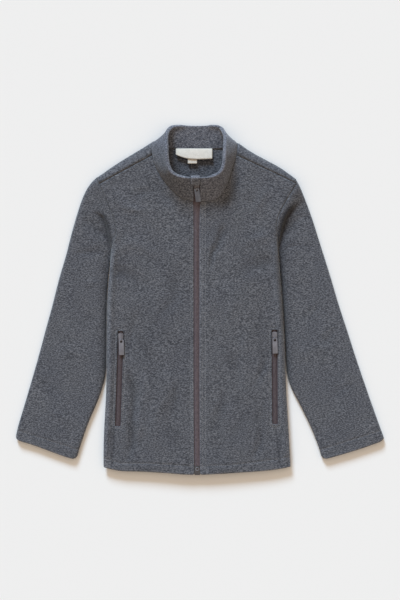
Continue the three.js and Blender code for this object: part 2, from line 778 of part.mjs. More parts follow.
function rimPoint(place) {
  const columns = [1, 2, 3].map((k) => COLLAR_RIM.map((row) => [row[0], row[k]]));
  return vec(...columns.map((column) => lookup(column, place)));
}

function collarRows() {
  const neck = neckLoop();
  const count = neck.length - 1;
  const rows = [];
  for (let r = 0; r <= COLLAR_ROWS; r += 1) {
    const v = r / COLLAR_ROWS;
    rows.push(neck.map((p, i) => {
      const rim = rimPoint(36 * i / count);
      const puff = COLLAR_PUFF * 4 * v * (1 - v);
      const middle = vec(BODY_MIDDLE - 4, 215, 0);
      const out = p.clone().lerp(rim, v).sub(middle).setZ(0).normalize();
      const point = p.clone().lerp(rim, v).addScaledVector(out, puff * 0.6);
      point.z += puff * 0.6 * Math.min(p.z / 12, 1);
      return point;
    }));
  }
  return rows;
}

function collarWall() {
  const rows = collarRows();
  backOff(rows, 'first row', SEAM_GAP * 1.8);
  const columns = backTop();
  const seamNormal = (r, c) => {
    const column = columns[c + ACROSS - NECK_FRONT];
    if (r > 0 || c < NECK_FRONT || c >= rows[0].length - NECK_FRONT) return null;
    return foldNormal(column.lean, column.height, column.turn);
  };
  return wall(rows, -1, () => COLLAR_WALL, seamNormal);
}

const walls = {
  front_left: frontWall(LEFT),
  front_right: frontWall(RIGHT),
  back: backWall(),
  sleeve_left: sleeveWall(LEFT),
  sleeve_right: sleeveWall(RIGHT),
  collar: collarWall(),
};

// Cloth and zip solids are joined and cut as closed meshes
function toSolid(geometry) {
  const bare = geometry.clone();
  bare.deleteAttribute('normal');
  bare.deleteAttribute('uv');
  const merged = mergeVertices(bare, 1e-4);
  return new wasm.Manifold(new wasm.Mesh({
    numProp: 3,
    vertProperties: Float32Array.from(merged.attributes.position.array),
    triVerts: Uint32Array.from(merged.index.array),
  }));
}

function fromSolid(solid) {
  const { vertProperties, triVerts } = solid.getMesh();
  const geometry = new THREE.BufferGeometry();
  geometry.setAttribute('position', new THREE.Float32BufferAttribute(vertProperties, 3));
  geometry.setIndex([...triVerts]);
  return geometry;
}

// Closed bar from a run of like cross-sections
function bar(sections) {
  const wide = sections[0].length;
  const points = sections.flat();
  const faces = [];
  for (let r = 0; r < sections.length - 1; r += 1) {
    for (let c = 0; c < wide; c += 1) {
      const next = (c + 1) % wide;
      const [a, b] = [r * wide + c, r * wide + next];
      const [d, e] = [(r + 1) * wide + c, (r + 1) * wide + next];
      faces.push([a, b, e], [a, e, d]);
    }
  }
  const last = (sections.length - 1) * wide;
  for (let c = 0; c < wide / 2 - 1; c += 1) {
    const [low, high] = [c, wide - 1 - c];
    const [lowEnd, highEnd] = [last + low, last + high];
    faces.push([low, high, low + 1], [low + 1, high, high - 1]);
    faces.push([lowEnd, lowEnd + 1, highEnd], [lowEnd + 1, highEnd - 1, highEnd]);
  }
  return closed(points, faces);
}

// Main zip tape behind a front edge, from the hem up the collar
function zipTape(side) {
  const front = walls[`front_${side.name}`];
  const { collar } = walls;
  const lastColumn = collar.outer[0].length - 1;
  const collarEdge = side.sign < 0 ? [0, 1] : [lastColumn, lastColumn - 1];
  const stations = [];
  const station = (grid, r, [edge, next]) => {
    const at = grid.inner[r][edge];
    const normal = grid.outer[r][edge].clone().sub(at).normalize();
    const beside = grid.inner[r][next];
    stations.push({ at, normal, side: beside.clone().sub(at).setLength(TAPE_HIDDEN) });
  };
  for (let r = 1; r <= ZIP_ROWS; r += 1) station(front, r, [0, 1]);
  for (let r = 0; r < COLLAR_ROWS; r += 1) station(collar, r, collarEdge);
  return bar(stations.map(({ at, normal, side: hidden }) => {
    const centre = vec(-side.sign, 0);
    const top = at.clone().addScaledVector(normal, -TAPE_GAP);
    top.x = zipEdge(side, at.y);
    const raised = (p, rise) => p.addScaledVector(normal, rise);
    const point = (along, rise) => raised(top.clone().addScaledVector(centre, along), rise);
    const outer = (rise) => raised(top.clone().add(hidden), rise);
    const meet = ZIP_OPENING / 2 - TAPE_GAP / 2;
    const chain = ZIP_OPENING / 2 - CHAIN_HALF;
    return [
      outer(0), point(0, 0), point(chain, 0), point(chain, CHAIN_RISE), point(meet, CHAIN_RISE),
      point(meet, -TAPE_WALL), point(chain, -TAPE_WALL), point(chain / 2, -TAPE_WALL),
      point(0, -TAPE_WALL), outer(-TAPE_WALL),
    ];
  }));
}

function roundedOutline(width, from, to, round) {
  const shape = new THREE.Shape();
  const half = width / 2;
  shape.moveTo(-half + round, from);
  shape.lineTo(half - round, from);
  shape.absarc(half - round, from + round, round, -Math.PI / 2, 0, false);
  shape.lineTo(half, to - round);
  shape.absarc(half - round, to - round, round, 0, Math.PI / 2, false);
  shape.lineTo(-half + round, to);
  shape.absarc(-half + round, to - round, round, Math.PI / 2, Math.PI, false);
  shape.lineTo(-half, from + round);
  shape.absarc(-half + round, from + round, round, Math.PI, Math.PI * 1.5, false);
  return shape;
}

const extrude = (shape, depth) => (
  new THREE.ExtrudeGeometry(shape, { depth, bevelEnabled: false, curveSegments: 4 }));

// Slider body with the bridge that holds the pull tab; underside at z = 0, bridge at y = 0
function sliderGeometry() {
  const body = new THREE.Shape();
  const half = SLIDER_WIDTH / 2;
  const low = BRIDGE_OFFSET - SLIDER_LENGTH / 2;
  const high = low + SLIDER_LENGTH;
  body.moveTo(-half * SLIDER_TAPER, low);
  body.lineTo(half * SLIDER_TAPER, low);
  body.lineTo(half, high - half);
  body.lineTo(half, high - 1);
  body.lineTo(half - 1, high);
  body.lineTo(1 - half, high);
  body.lineTo(-half, high - 1);
  body.lineTo(-half, high - half);
  body.closePath();
  const arch = new THREE.Shape();
  const root = -0.5;
  const inside = BRIDGE_REACH - BRIDGE_WALL;
  arch.moveTo(-BRIDGE_REACH, root);
  arch.lineTo(-inside, root);
  arch.lineTo(-inside, BRIDGE_INSIDE);
  arch.lineTo(inside, BRIDGE_INSIDE);
  arch.lineTo(inside, root);
  arch.lineTo(BRIDGE_REACH, root);
  arch.lineTo(BRIDGE_REACH, BRIDGE_RISE - BRIDGE_CORNER);
  arch.lineTo(BRIDGE_REACH - BRIDGE_CORNER, BRIDGE_RISE);
  arch.lineTo(BRIDGE_CORNER - BRIDGE_REACH, BRIDGE_RISE);
  arch.lineTo(-BRIDGE_REACH, BRIDGE_RISE - BRIDGE_CORNER);
  arch.closePath();
  const bridge = extrude(arch, BRIDGE_WIDTH);
  bridge.translate(0, 0, -BRIDGE_WIDTH / 2);
  bridge.rotateX(Math.PI / 2);
  bridge.rotateZ(Math.PI / 2);
  bridge.translate(0, 0, SLIDER_THICK);
  return fromSolid(toSolid(extrude(body, SLIDER_THICK)).add(toSolid(bridge)));
}

// Pull tab about its hinge, lying towards -Y
function pullGeometry() {
  const shape = roundedOutline(PULL_WIDTH, PULL_BAR / 2 - PULL_LENGTH, PULL_BAR / 2, 1.2);
  const eye = new THREE.Path();
  const half = PULL_EYE / 2;
  const top = -PULL_BAR / 2;
  eye.moveTo(-half, top);
  eye.lineTo(-half, top - PULL_EYE_LENGTH);
  eye.lineTo(half, top - PULL_EYE_LENGTH);
  eye.lineTo(half, top);
  eye.closePath();
  shape.holes.push(eye);
  const geometry = extrude(shape, PULL_THICK);
  geometry.translate(0, 0, -PULL_THICK / 2);
  return geometry;
}

const HINGE_RISE = SLIDER_THICK + PULL_LIFT + PULL_THICK / 2;

// Slider and pull tab in a frame whose +Y runs up the zip and +Z out of it
function zipHardware(sliderName, pullName, base, slope, turn, shift, tilt) {
  const frame = new THREE.Group();
  frame.position.copy(base);
  frame.rotation.set(slope, 0, turn, 'ZXY');
  const slider = new THREE.Mesh(sliderGeometry(), metal);
  slider.name = sliderName;
  const pull = new THREE.Mesh(pullGeometry(), metal);
  pull.name = pullName;
  pull.position.set(shift, 0, HINGE_RISE);
  pull.rotation.z = tilt;
  frame.add(slider, pull);
  return frame;
}

// Place along a pocket opening, from its top (0) to its bottom (1)
function pocketPoint(side, t, across = 0) {
  const [[x0, y0], [x1, y1]] = side.pocket;
  const length = Math.hypot(x1 - x0, y1 - y0);
  const way = [(x1 - x0) / length, (y1 - y0) / length];
  return [mix(x0, x1, t) - way[1] * across, mix(y0, y1, t) + way[0] * across];
}

function pocketLength(side) {
  const [[x0, y0], [x1, y1]] = side.pocket;
  return Math.hypot(x1 - x0, y1 - y0);
}

// Tape behind a pocket opening, its chain standing up into the slit
function pocketTape(side) {
  const length = pocketLength(side);
  const end = POCKET_END / length;
  const lip = 1 / length;
  const places = [[-end, 0], [0, 0], [lip, POCKET_CHAIN_RISE]];
  for (let k = 1; k < 8; k += 1) places.push([k / 8, POCKET_CHAIN_RISE]);
  places.push([1 - lip, POCKET_CHAIN_RISE], [1, 0], [1 + end, 0]);
  const half = POCKET_TAPE_WIDTH / 2;
  const chain = POCKET_CHAIN / 2;
  return bar(places.map(([t, rise]) => {
    const point = (across, lift) => {
      const [x, y] = pocketPoint(side, t, across);
      return vec(x, y, frontHeight(side, x, y) - FLEECE - POCKET_TAPE_DROP + lift);
    };
    return [
      point(-half, 0), point(-chain, 0), point(-chain, rise + 0.01), point(chain, rise + 0.01),
      point(chain, 0), point(half, 0), point(half, -TAPE_WALL), point(chain, -TAPE_WALL),
      point(chain / 2, -TAPE_WALL), point(-chain / 2, -TAPE_WALL), point(-chain, -TAPE_WALL),
      point(-half, -TAPE_WALL),
    ];
  }));
}

function frontWithSlit(side) {
  const whole = toSolid(skin(walls[`front_${side.name}`]));
  const slit = new THREE.BoxGeometry(SLIT_WIDTH, pocketLength(side), SLIT_DEPTH);
  const [[x0, y0], [x1, y1]] = side.pocket;
  slit.rotateZ(Math.atan2(x1 - x0, y0 - y1));
  slit.translate((x0 + x1) / 2, (y0 + y1) / 2, SLIT_DEPTH / 2 + EDGE_HEIGHT - 1);
  return fromSolid(whole.subtract(toSolid(slit)));
}

// Flap over the top of the main zip, folded over the collar edge
function chinGuard() {
  const { outer } = walls.collar;
  const rim = outer[COLLAR_ROWS][0];
  const way = rim.clone().sub(outer[COLLAR_ROWS - 1][0]).setX(0).normalize();
  const out = vec(0, -way.z, way.y);
  const near = GUARD_GAP;
  const far = COLLAR_WALL + GUARD_INNER_GAP;
  const profile = [
    [-GUARD_LENGTH, near], [near, near], [near, -far], [-GUARD_INSIDE, -far],
    [-GUARD_INSIDE, -far - GUARD_WALL], [near + GUARD_WALL, -far - GUARD_WALL],
    [near + GUARD_WALL, near + GUARD_WALL], [-GUARD_LENGTH, near + GUARD_WALL],
  ];
  const shape = new THREE.Shape(profile.map(([x, y]) => new THREE.Vector2(x, y)));
  const geometry = extrude(shape, GUARD_WIDTH);
  const frame = new THREE.Matrix4().makeBasis(way, out, vec(1, 0, 0));
  frame.setPosition(vec(-TAPE_GAP - GUARD_WIDTH, rim.y, rim.z));
  geometry.applyMatrix4(frame);
  return geometry;
}

// Woven strip hung from the back neck seam, and the size tab under it
function hangingStrip(topY, lowerEdge, heights, columns) {
  const rows = [0, 0.5, 1].map((share) => lowerEdge.map(([x]) => {
    const y = mix(topY, lookup(lowerEdge, x), share);
    return vec(x, y, mix(heights[0], heights[1], share ** 0.7));
  }));
  const shares = Array.from({ length: columns + 1 }, (_, c) => c / columns);
  const even = rows.map((line) => atShares(line, shares));
  return skin(wall(even, -1, () => LABEL_CLOTH, () => null));
}

// Colours
const fleece = new THREE.MeshStandardMaterial({ color: 0x55575e, roughness: 0.95 });
const collarFleece = new THREE.MeshStandardMaterial({ color: 0x5c5e64, roughness: 0.95 });
const tape = new THREE.MeshStandardMaterial({ color: 0x4c434a, roughness: 0.8 });
const metal = new THREE.MeshStandardMaterial({ color: 0x66636a, roughness: 0.45, metalness: 0.6 });
const woven = new THREE.MeshStandardMaterial({ color: 0xdbd7ce, roughness: 0.8 });

const jacket = new THREE.Group();
function add(name, geometry, material) {
  const mesh = new THREE.Mesh(geometry, material);
  mesh.name = name;
  jacket.add(mesh);
  return mesh;
}

add('back', skin(walls.back), fleece);
add('collar', skin(walls.collar), collarFleece);
add('chin_guard', chinGuard(), collarFleece);
for (const side of [LEFT, RIGHT]) {
  add(`front_${side.name}`, frontWithSlit(side), fleece);
  add(`sleeve_${side.name}`, skin(walls[`sleeve_${side.name}`], true), fleece);
  add(`zip_tape_${side.name}`, zipTape(side), tape);
  add(`pocket_tape_${side.name}`, pocketTape(side), tape);
  const [x, y] = pocketPoint(side, side.sliderAt / pocketLength(side));
  const [[x0, y0], [x1, y1]] = side.pocket;
  const chainTop = frontHeight(side, x, y) - FLEECE - POCKET_TAPE_DROP + POCKET_CHAIN_RISE;
  const slope = Math.atan((frontHeight(side, x, y + 8) - frontHeight(side, x, y - 8)) / 16);
  jacket.add(zipHardware(
    `pocket_slider_${side.name}`,
    `pocket_pull_${side.name}`,
    vec(x, y, chainTop + SLIDER_CLEARANCE),
    slope,
    Math.atan2(x1 - x0, y0 - y1),
    side.pullShift,
    side.pullTilt,
  ));
}

// Main slider on the collar face
const collarEdge = walls.collar.inner.map((line) => line[0]);
const sliderLow = collarEdge[2].clone();
const sliderHigh = collarEdge[5].clone();
const slopeWay = sliderHigh.clone().sub(sliderLow).setX(0).normalize();
const slopeOut = vec(0, -slopeWay.z, slopeWay.y);
const sliderBase = sliderLow.clone().lerp(sliderHigh, MAIN_SLIDER_SHARE);
sliderBase.x = zipEdge(LEFT, sliderBase.y) + ZIP_OPENING / 2;
sliderBase.addScaledVector(slopeOut, CHAIN_RISE - TAPE_GAP + SLIDER_CLEARANCE + MAIN_SLIDER_LIFT);
const mainSlope = Math.atan2(slopeWay.z, slopeWay.y);
jacket.add(zipHardware('zip_slider', 'zip_pull', sliderBase, mainSlope, 0, 0, MAIN_PULL_TILT));

// Box at the foot of the main zip
const boxLow = lookup(HEM, lookup(ZIP_LINE, -280)) - 0.3;
const boxX = lookup(ZIP_LINE, boxLow);
const box = extrude(roundedOutline(BOX_WIDTH, boxLow, boxLow + BOX_LENGTH, 1), BOX_HEIGHT);
box.translate(boxX, 0, level(boxX, boxLow) - BOX_HEIGHT - BOX_DROP);
add('zip_box', box, metal);

add('neck_label', hangingStrip(LABEL_TOP, LABEL_LOWER, LABEL_HEIGHTS, 10), woven);
add('size_tab', hangingStrip(TAB_TOP, TAB_LOWER, TAB_HEIGHTS, 3), woven);

export default jacket;
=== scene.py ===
# Child's fleece zip jacket, laid flat on a pale surface and seen from straight above.
# Metres. +X to the right as seen from above, +Y to the collar, +Z up, surface at z = 0.
import math

import bmesh
import bpy
import numpy as np
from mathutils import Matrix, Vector
from mathutils.bvhtree import BVHTree
from mathutils.kdtree import KDTree


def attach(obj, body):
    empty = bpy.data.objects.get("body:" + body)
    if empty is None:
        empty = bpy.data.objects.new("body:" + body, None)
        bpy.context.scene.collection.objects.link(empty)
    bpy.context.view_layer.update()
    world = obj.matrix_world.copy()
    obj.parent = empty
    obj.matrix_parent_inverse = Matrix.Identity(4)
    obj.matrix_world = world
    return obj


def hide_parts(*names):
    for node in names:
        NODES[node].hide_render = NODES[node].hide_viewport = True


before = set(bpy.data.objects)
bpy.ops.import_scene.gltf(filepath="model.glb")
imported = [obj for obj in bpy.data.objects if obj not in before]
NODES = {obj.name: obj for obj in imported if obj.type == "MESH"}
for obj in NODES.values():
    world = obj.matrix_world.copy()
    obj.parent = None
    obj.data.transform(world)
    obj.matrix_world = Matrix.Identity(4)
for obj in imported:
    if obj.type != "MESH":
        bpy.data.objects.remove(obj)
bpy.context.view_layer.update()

MM = 0.001

# Photograph: real size of one pixel, its size, and the pixel that lies at the origin
PIXEL = 1.6 * MM
PHOTO = (400, 600)
ORIGIN_PIXEL = (200, 301)

# Cloth
SEAM_ROUND = 2.2 * MM
STITCH_PITCH = 3.2 * MM
STITCH_LENGTH = 2.3 * MM
STITCH_ROUND = 0.32 * MM
STITCH_SINK = 0.06 * MM

# Main zip: middle of the zip at the hem and above, and half the width that shows
ZIP_FOOT = (-285, -4.2)
ZIP_BEND = (-150, -5.3)
ZIP_HALF = 5.3
TOOTH_PITCH = 2.0
TOOTH_LENGTH = 2.3
TOOTH_WIDTH = 1.15
TOOTH_HEIGHT = 0.55

# Creases in the cloth, in millimetres: start x, y, end x, y, half width, height, unevenness
CREASES = [
    # Left front
    (-70, 210, -34, 148, 9.0, -0.9, 0.2),
    (-107, -104, -114, -266, 6.5, -3.6, 0.2),
    (-95, -100, -100, -266, 7.0, 1.5, 0.3),
    (-104, -4, -108, -102, 6.0, -1.1, 0.3),
    (-82, -10, -80, -180, 11.0, -1.1, 0.4),
    (-64, -60, -70, -240, 11.0, 1.2, 0.4),
    (-46, 70, -56, -90, 14.0, -1.0, 0.3),
    (-32, -110, -40, -268, 11.0, -1.2, 0.4),
    (-136, 66, -78, 10, 10.0, -1.5, 0.4),
    (-134, 92, -62, 66, 10.0, 1.3, 0.4),
    (-106, 152, -66, 176, 10.0, -1.2, 0.3),
    (-26, 140, -30, 30, 9.0, 1.0, 0.4),
    (-134, 184, -92, 130, 12.0, 1.1, 0.4),
    # Right front
    (66, 214, 18, 142, 10.0, -2.0, 0.2),
    (38, 126, 20, 72, 5.0, -1.8, 0.25),
    (25, 90, 14, 40, 4.5, -4.6, 0.25),
    (96, 0, 92, -150, 8.0, -1.4, 0.4),
    (90, -140, 96, -264, 8.0, -1.3, 0.4),
    (78, -30, 74, -200, 9.0, 1.1, 0.4),
    (58, -50, 54, -240, 11.0, -1.0, 0.4),
    (34, 50, 42, -120, 14.0, 1.0, 0.3),
    (24, -130, 32, -268, 9.0, -1.2, 0.4),
    (122, 78, 70, 30, 10.0, -1.4, 0.4),
    (120, 104, 54, 78, 10.0, 1.2, 0.4),
    (96, 152, 56, 172, 10.0, -1.0, 0.3),
    (14, 136, 18, 20, 9.0, 0.9, 0.4),
    (126, 182, 86, 134, 12.0, 1.1, 0.4),
]

# Creases in the sleeves, from the armpit and the elbow
SLEEVE_CREASES = [
    (-146, 92, -196, 132, 7.0, -1.2, 0.5),
    (-150, 66, -206, 84, 8.0, -1.0, 0.5),
    (-152, 30, -190, 40, 8.0, 0.8, 0.4),
    (-160, -30, -214, -4, 9.0, -0.9, 0.5),
    (-240, -40, -196, -66, 8.0, -0.9, 0.5),
    (-166, -96, -226, -72, 9.0, 0.7, 0.4),
    (-214, -150, -262, -120, 9.0, -0.7, 0.4),
    (-206, -196, -250, -172, 8.0, 0.6, 0.4),
    (-176, 150, -206, 60, 10.0, 0.7, 0.3),
    (132, 104, 182, 138, 7.0, -1.2, 0.5),
    (136, 72, 190, 92, 8.0, -1.0, 0.5),
    (140, 36, 178, 46, 8.0, 0.8, 0.4),
    (148, -24, 200, 0, 9.0, -0.9, 0.5),
    (226, -40, 184, -66, 8.0, -0.9, 0.5),
    (154, -92, 214, -70, 9.0, 0.7, 0.4),
    (202, -150, 252, -122, 9.0, -0.7, 0.4),
    (196, -196, 240, -172, 8.0, 0.6, 0.4),
    (162, 150, 192, 60, 10.0, 0.7, 0.3),
]

# Puckers across the back where it lies on the surface
BACK_CREASES = [
    (-120, 60, -40, 20, 12.0, 1.0, 0.4),
    (110, 70, 40, 24, 12.0, 1.0, 0.4),
    (-60, -40, -66, -230, 12.0, 0.9, 0.5),
    (54, -50, 60, -236, 12.0, 0.9, 0.5),
    (-90, 150, 70, 158, 10.0, 0.8, 0.5),
    (-10, 120, -4, -120, 14.0, 0.7, 0.5),
]

# Pieces of cloth that are sewn to each other
SEWN_TOGETHER = {
    "back": ["front_left", "front_right", "sleeve_left", "sleeve_right", "collar"],
    "front_left": ["back", "sleeve_left", "collar"],
    "front_right": ["back", "sleeve_right", "collar"],
    "sleeve_left": ["back", "front_left"],
    "sleeve_right": ["back", "front_right"],
    "collar": ["back", "front_left", "front_right"],
    "chin_guard": ["collar"],
}

# Fold where the sleeve drops away from the body, from the hem up and over the sleeve's head: x, y
DROPS = {
    "left": [
        (-155, -266), (-155, -230), (-152, -178), (-150, -146), (-149, -35), (-148, 6), (-145.5, 50),
        (-142, 82), (-146, 100), (-150, 122), (-155, 134), (-163, 140), (-175, 142),
    ],
    "right": [
        (146, -264), (144, -242), (140, -178), (138, -152), (137, -114), (133, -30), (127, 59),
        (125.5, 88), (129, 101), (133, 118), (137, 132), (143, 143), (152, 152), (162, 158),
    ],
}
DROP_SINK = 3.5
DROP_REACH = 8.0
DROP_FADE = 30.0
EDGE_CREST = 2.6
# Painted shade on the sleeve beside the drop, where the body's edge shades it: strength and reach of a dark line,
# strength and reach of a broader band
DROP_SHADE = {"left": (0.62, 4.5, 0.26, 12.0), "right": (0.9, 3.6, 0.55, 11.0)}
# Painted highlight along the body's left edge, which faces the light, and beside the zip on each side, with its
# middle and reach from the zip
LIT_EDGE = 0.8
PLACKET_LIGHT = {"left": 0.2, "right": 0.38}
PLACKET_MIDDLE = 12.8
PLACKET_REACH = 3.0
RIM_PUFF = 1.1
RIM_REACH = 4.5
RIM_WAVE = 0.55
BROAD_SWELL = 0.9
# Painted shade in the troughs of the creases and painted highlight on their ridges, for each millimetre of height
TROUGH_SHADE = 0.17
RIDGE_LIGHT = 0.2
CREASE_FADE = 0.3
NAP = 0.15 * MM

# Middles of the pocket openings: top x, y, bottom x, y
POCKETS = {"left": (-126, -48, -131, -200), "right": (119, -46, 120, -197)}
POCKET_STITCH = 3.2
POCKET_HALF = 4.75
# Painted shade along the pocket openings and beside the pull tabs: strength, reach, strength beside the pull, and how
# far down the pull reaches
POCKET_SHADE = 0.3
POCKET_SHADE_REACH = 1.8
PULL_SHADE = 0.85
PULL_FOOT = 42
# Painted shade along the pocket seams
SEAM_SHADE = 0.55
# Painted shade inside the neck opening
NECK_SHADE = 0.2

# Rounded corners of the cuffs
CORNER_ROUND = 2.6
CORNER_REACH = 5.0

# How far the hem's edge rides up where the cloth sags between the corners: x, rise
HEM_RISE = [(-156, 1.6), (-140, 2.6), (-110, 3.4), (-70, 2.4), (-30, 2.4), (30, 3.0), (60, 2.6), (90, 1.2), (120, 0)]
HEM_RISE_FROM = -256
HEM_RISE_REACH = 18

# Rivet ring on the box at the foot of the main zip: centre, radius, thickness
RING = (-4.2, -268.2)
RING_RADIUS = 2.5
RING_ROUND = 0.55


# Shapes
def smooth(t):
    t = np.clip(t, 0, 1)
    return t * t * (3 - 2 * t)


def wave(x, y, seed, size):
    """Soft repeatable unevenness from -1 to 1."""
    total = np.zeros_like(x)
    for k, (turn, stretch) in enumerate([(0.4, 1.0), (1.9, 1.7), (2.9, 2.6)]):
        angle = turn + seed * 1.37
        along = x * math.cos(angle) + y * math.sin(angle)
        across = y * math.cos(angle) - x * math.sin(angle)
        total += np.sin(along * stretch / size + seed * 2.1 + 1.3 * np.sin(across / size)) / (k + 1.5)
    return total / 1.35


def crease_height(x, y, table):
    """Height of the soft creases in a table, in metres, at plan points in millimetres."""
    total = np.zeros_like(x)
    for seed, (x0, y0, x1, y1, half, height, uneven) in enumerate(table):
        length = math.hypot(x1 - x0, y1 - y0)
        along = ((x - x0) * (x1 - x0) + (y - y0) * (y1 - y0)) / length
        off = ((x - x0) * (y1 - y0) - (y - y0) * (x1 - x0)) / length
        sway = half * 0.9 * np.sin(along / 31 + seed * 1.7) + half * 0.4 * np.sin(along / 13 + seed)
        spread = half * (1 + uneven * np.sin(along / 23 + seed * 2.3))
        fade = max(2.2 * half, CREASE_FADE * length)
        ends = smooth(along / fade) * smooth((length - along) / fade)
        swell = 1 + uneven * np.sin(along / 19 + seed * 0.9)
        total += height * ends * swell * np.exp(-((off - sway) / spread) ** 2)
    return total * MM


def points_of(mesh):
    co = np.zeros(len(mesh.vertices) * 3, np.float32)
    mesh.vertices.foreach_get("co", co)
    return co.reshape(-1, 3).astype(float)


def set_points(mesh, co):
    mesh.vertices.foreach_set("co", co.astype(np.float32).ravel())
    mesh.update()


def normals_of(mesh):
    no = np.zeros(len(mesh.vertices) * 3, np.float32)
    mesh.vertices.foreach_get("normal", no)
    return no.reshape(-1, 3).astype(float)


def link(name, mesh, material, body="jacket"):
    obj = bpy.data.objects.new(name, mesh)
    bpy.context.scene.collection.objects.link(obj)
    mesh.materials.clear()
    mesh.materials.append(material)
    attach(obj, body)
    return obj


def shade_smooth(mesh):
    mesh.polygons.foreach_set("use_smooth", [True] * len(mesh.polygons))


def distance_to(points, lines):
    """Least plan distance from each point to the points of several lines."""
    tree = KDTree(sum(len(line) for line in lines))
    index = 0
    for line in lines:
        for p in line:
            tree.insert((p[0], p[1], 0), index)
            index += 1
    tree.balance()
    return np.array([tree.find((p[0], p[1], 0))[2] for p in points])


def hem_rise(x, y):
    """Rise of the hem's edge in metres, at plan points in millimetres."""
    rise = np.interp(x, [p[0] for p in HEM_RISE], [p[1] for p in HEM_RISE])
    return rise * smooth((HEM_RISE_FROM - y) / HEM_RISE_REACH) * MM


def close_points(line):
    """Points about 1 mm apart along a plan line in millimetres, in metres."""
    found = []
    for (ax, ay), (bx, by) in zip(line, line[1:]):
        steps = max(1, int(math.hypot(bx - ax, by - ay)))
        found.extend(
            ((ax + (bx - ax) * k / steps) * MM, (ay + (by - ay) * k / steps) * MM) for k in range(steps))
    return found


def refined(node, levels, sharp_angle=50, neighbours=None, free_edge=0.45):
    """The node's own form as a finer closed mesh. Seams stay sharp, and free edges turn softly."""
    bm = bmesh.new()
    bm.from_mesh(NODES[node].data)
    bmesh.ops.remove_doubles(bm, verts=bm.verts, dist=0.00002)
    bmesh.ops.join_triangles(
        bm, faces=bm.faces, angle_face_threshold=math.radians(25),
        angle_shape_threshold=math.radians(60),
    )
    crease = bm.edges.layers.float.new("crease_edge")
    limit = math.radians(sharp_angle)
    for edge in bm.edges:
        if len(edge.link_faces) == 2 and edge.calc_face_angle(0) > limit:
            middle = (edge.verts[0].co + edge.verts[1].co) / 2
            sewn = neighbours is None or neighbours.find_nearest(middle, 1.2 * MM)[0] is not None
            edge[crease] = 1.0 if sewn else free_edge
    mesh = bpy.data.meshes.new(f"{node}_form")
    bm.to_mesh(mesh)
    bm.free()
    obj = bpy.data.objects.new(f"{node}_form", mesh)
    bpy.context.scene.collection.objects.link(obj)
    modifier = obj.modifiers.new("subdivide", "SUBSURF")
    modifier.levels = levels
    modifier.render_levels = levels
    made = bpy.data.meshes.new_from_object(
        obj.evaluated_get(bpy.context.evaluated_depsgraph_get()))
    bpy.data.objects.remove(obj)
    made.name = node
    return made


def sharp_lines(mesh, angle=45):
    """Points on the sharp edges of a mesh."""
    bm = bmesh.new()
    bm.from_mesh(mesh)
    limit = math.radians(angle)
    found = []
    for edge in bm.edges:
        if len(edge.link_faces) == 2 and edge.calc_face_angle(0) > limit:
            a, b = edge.verts[0].co, edge.verts[1].co
            steps = max(1, int((b - a).length / (1.5 * MM)))
            found.extend(a.lerp(b, k / steps) for k in range(steps + 1))
    bm.free()
    return found


def store(mesh, name, values):
    attribute = mesh.attributes.new(name, "FLOAT", "POINT")
    attribute.data.foreach_set("value", np.asarray(values, np.float32))


def cloth_neighbours(name):
    """Search tree over the cloth that is sewn to a piece."""
    points = []
    faces = []
    for other in SEWN_TOGETHER[name]:
        start = len(points)
        mesh = NODES[other].data
        points.extend(v.co.copy() for v in mesh.vertices)
        faces.extend([start + i for i in p.vertices] for p in mesh.polygons)
    return BVHTree.FromPolygons(points, faces)


def nearest(co, found):
    """Distance from each point to the nearest of some points."""
    if not len(found):
        return np.full(len(co), 1.0)
    tree = KDTree(len(found))
    for index, p in enumerate(found):
        tree.insert(p, index)
    tree.balance()
    return np.array([tree.find(p)[2] for p in co])


def beside_line(x, y, line):
    """Distance out from a plan line, positive to its left, and distance from the line's last point."""
    dense = []
    for (ax, ay), (bx, by) in zip(line, line[1:]):
        steps = max(1, int(math.hypot(bx - ax, by - ay)))
        dense.extend((ax + (bx - ax) * k / steps, ay + (by - ay) * k / steps) for k in range(steps))
    dense.append(line[-1])
    path = np.array(dense)
    ways = np.gradient(path, axis=0)
    ways /= np.linalg.norm(ways, axis=1)[:, None]
    run = np.concatenate([[0], np.cumsum(np.linalg.norm(np.diff(path, axis=0), axis=1))])
    tree = KDTree(len(path))
    for index, p in enumerate(path):
        tree.insert((p[0], p[1], 0), index)
    tree.balance()
    at = np.array([tree.find((a, b, 0))[1] for a, b in zip(x, y)])
    gap = np.stack([x, y], 1) - path[at]
    off = ways[at, 0] * gap[:, 1] - ways[at, 1] * gap[:, 0]
    reach = np.hypot(gap[:, 0], gap[:, 1])
    return np.where(off >= 0, reach, -reach), run[-1] - run[at]


# Materials
def material(name):
    made = bpy.data.materials.new(name)
    made.use_nodes = True
    tree = made.node_tree
    tree.nodes.clear()
    out = tree.nodes.new("ShaderNodeOutputMaterial")
    shader = tree.nodes.new("ShaderNodeBsdfPrincipled")
    tree.links.new(shader.outputs["BSDF"], out.inputs["Surface"])
    return made, tree, shader


def node(tree, kind, values=None, **settings):
    made = tree.nodes.new(kind)
    for key, value in settings.items():
        setattr(made, key, value)
    for key, value in (values or {}).items():
        made.inputs[key].default_value = value
    return made


def linear(r, g, b):
    """Linear colour from a screen colour in 0 to 255."""
    def one(v):
        v /= 255
        return v / 12.92 if v <= 0.04045 else ((v + 0.055) / 1.055) ** 2.4
    return (one(r), one(g), one(b), 1)


def noise(tree, place, scale, detail=2.0, roughness=0.5, stretch=None):
    source = place
    if stretch:
        mapping = node(tree, "ShaderNodeMapping", {"Scale": stretch[0], "Rotation": stretch[1]})
        tree.links.new(place, mapping.inputs["Vector"])
        source = mapping.outputs["Vector"]
    made = node(tree, "ShaderNodeTexNoise", {"Scale": scale, "Detail": detail, "Roughness": roughness})
    tree.links.new(source, made.inputs["Vector"])
    return made.outputs["Fac"]


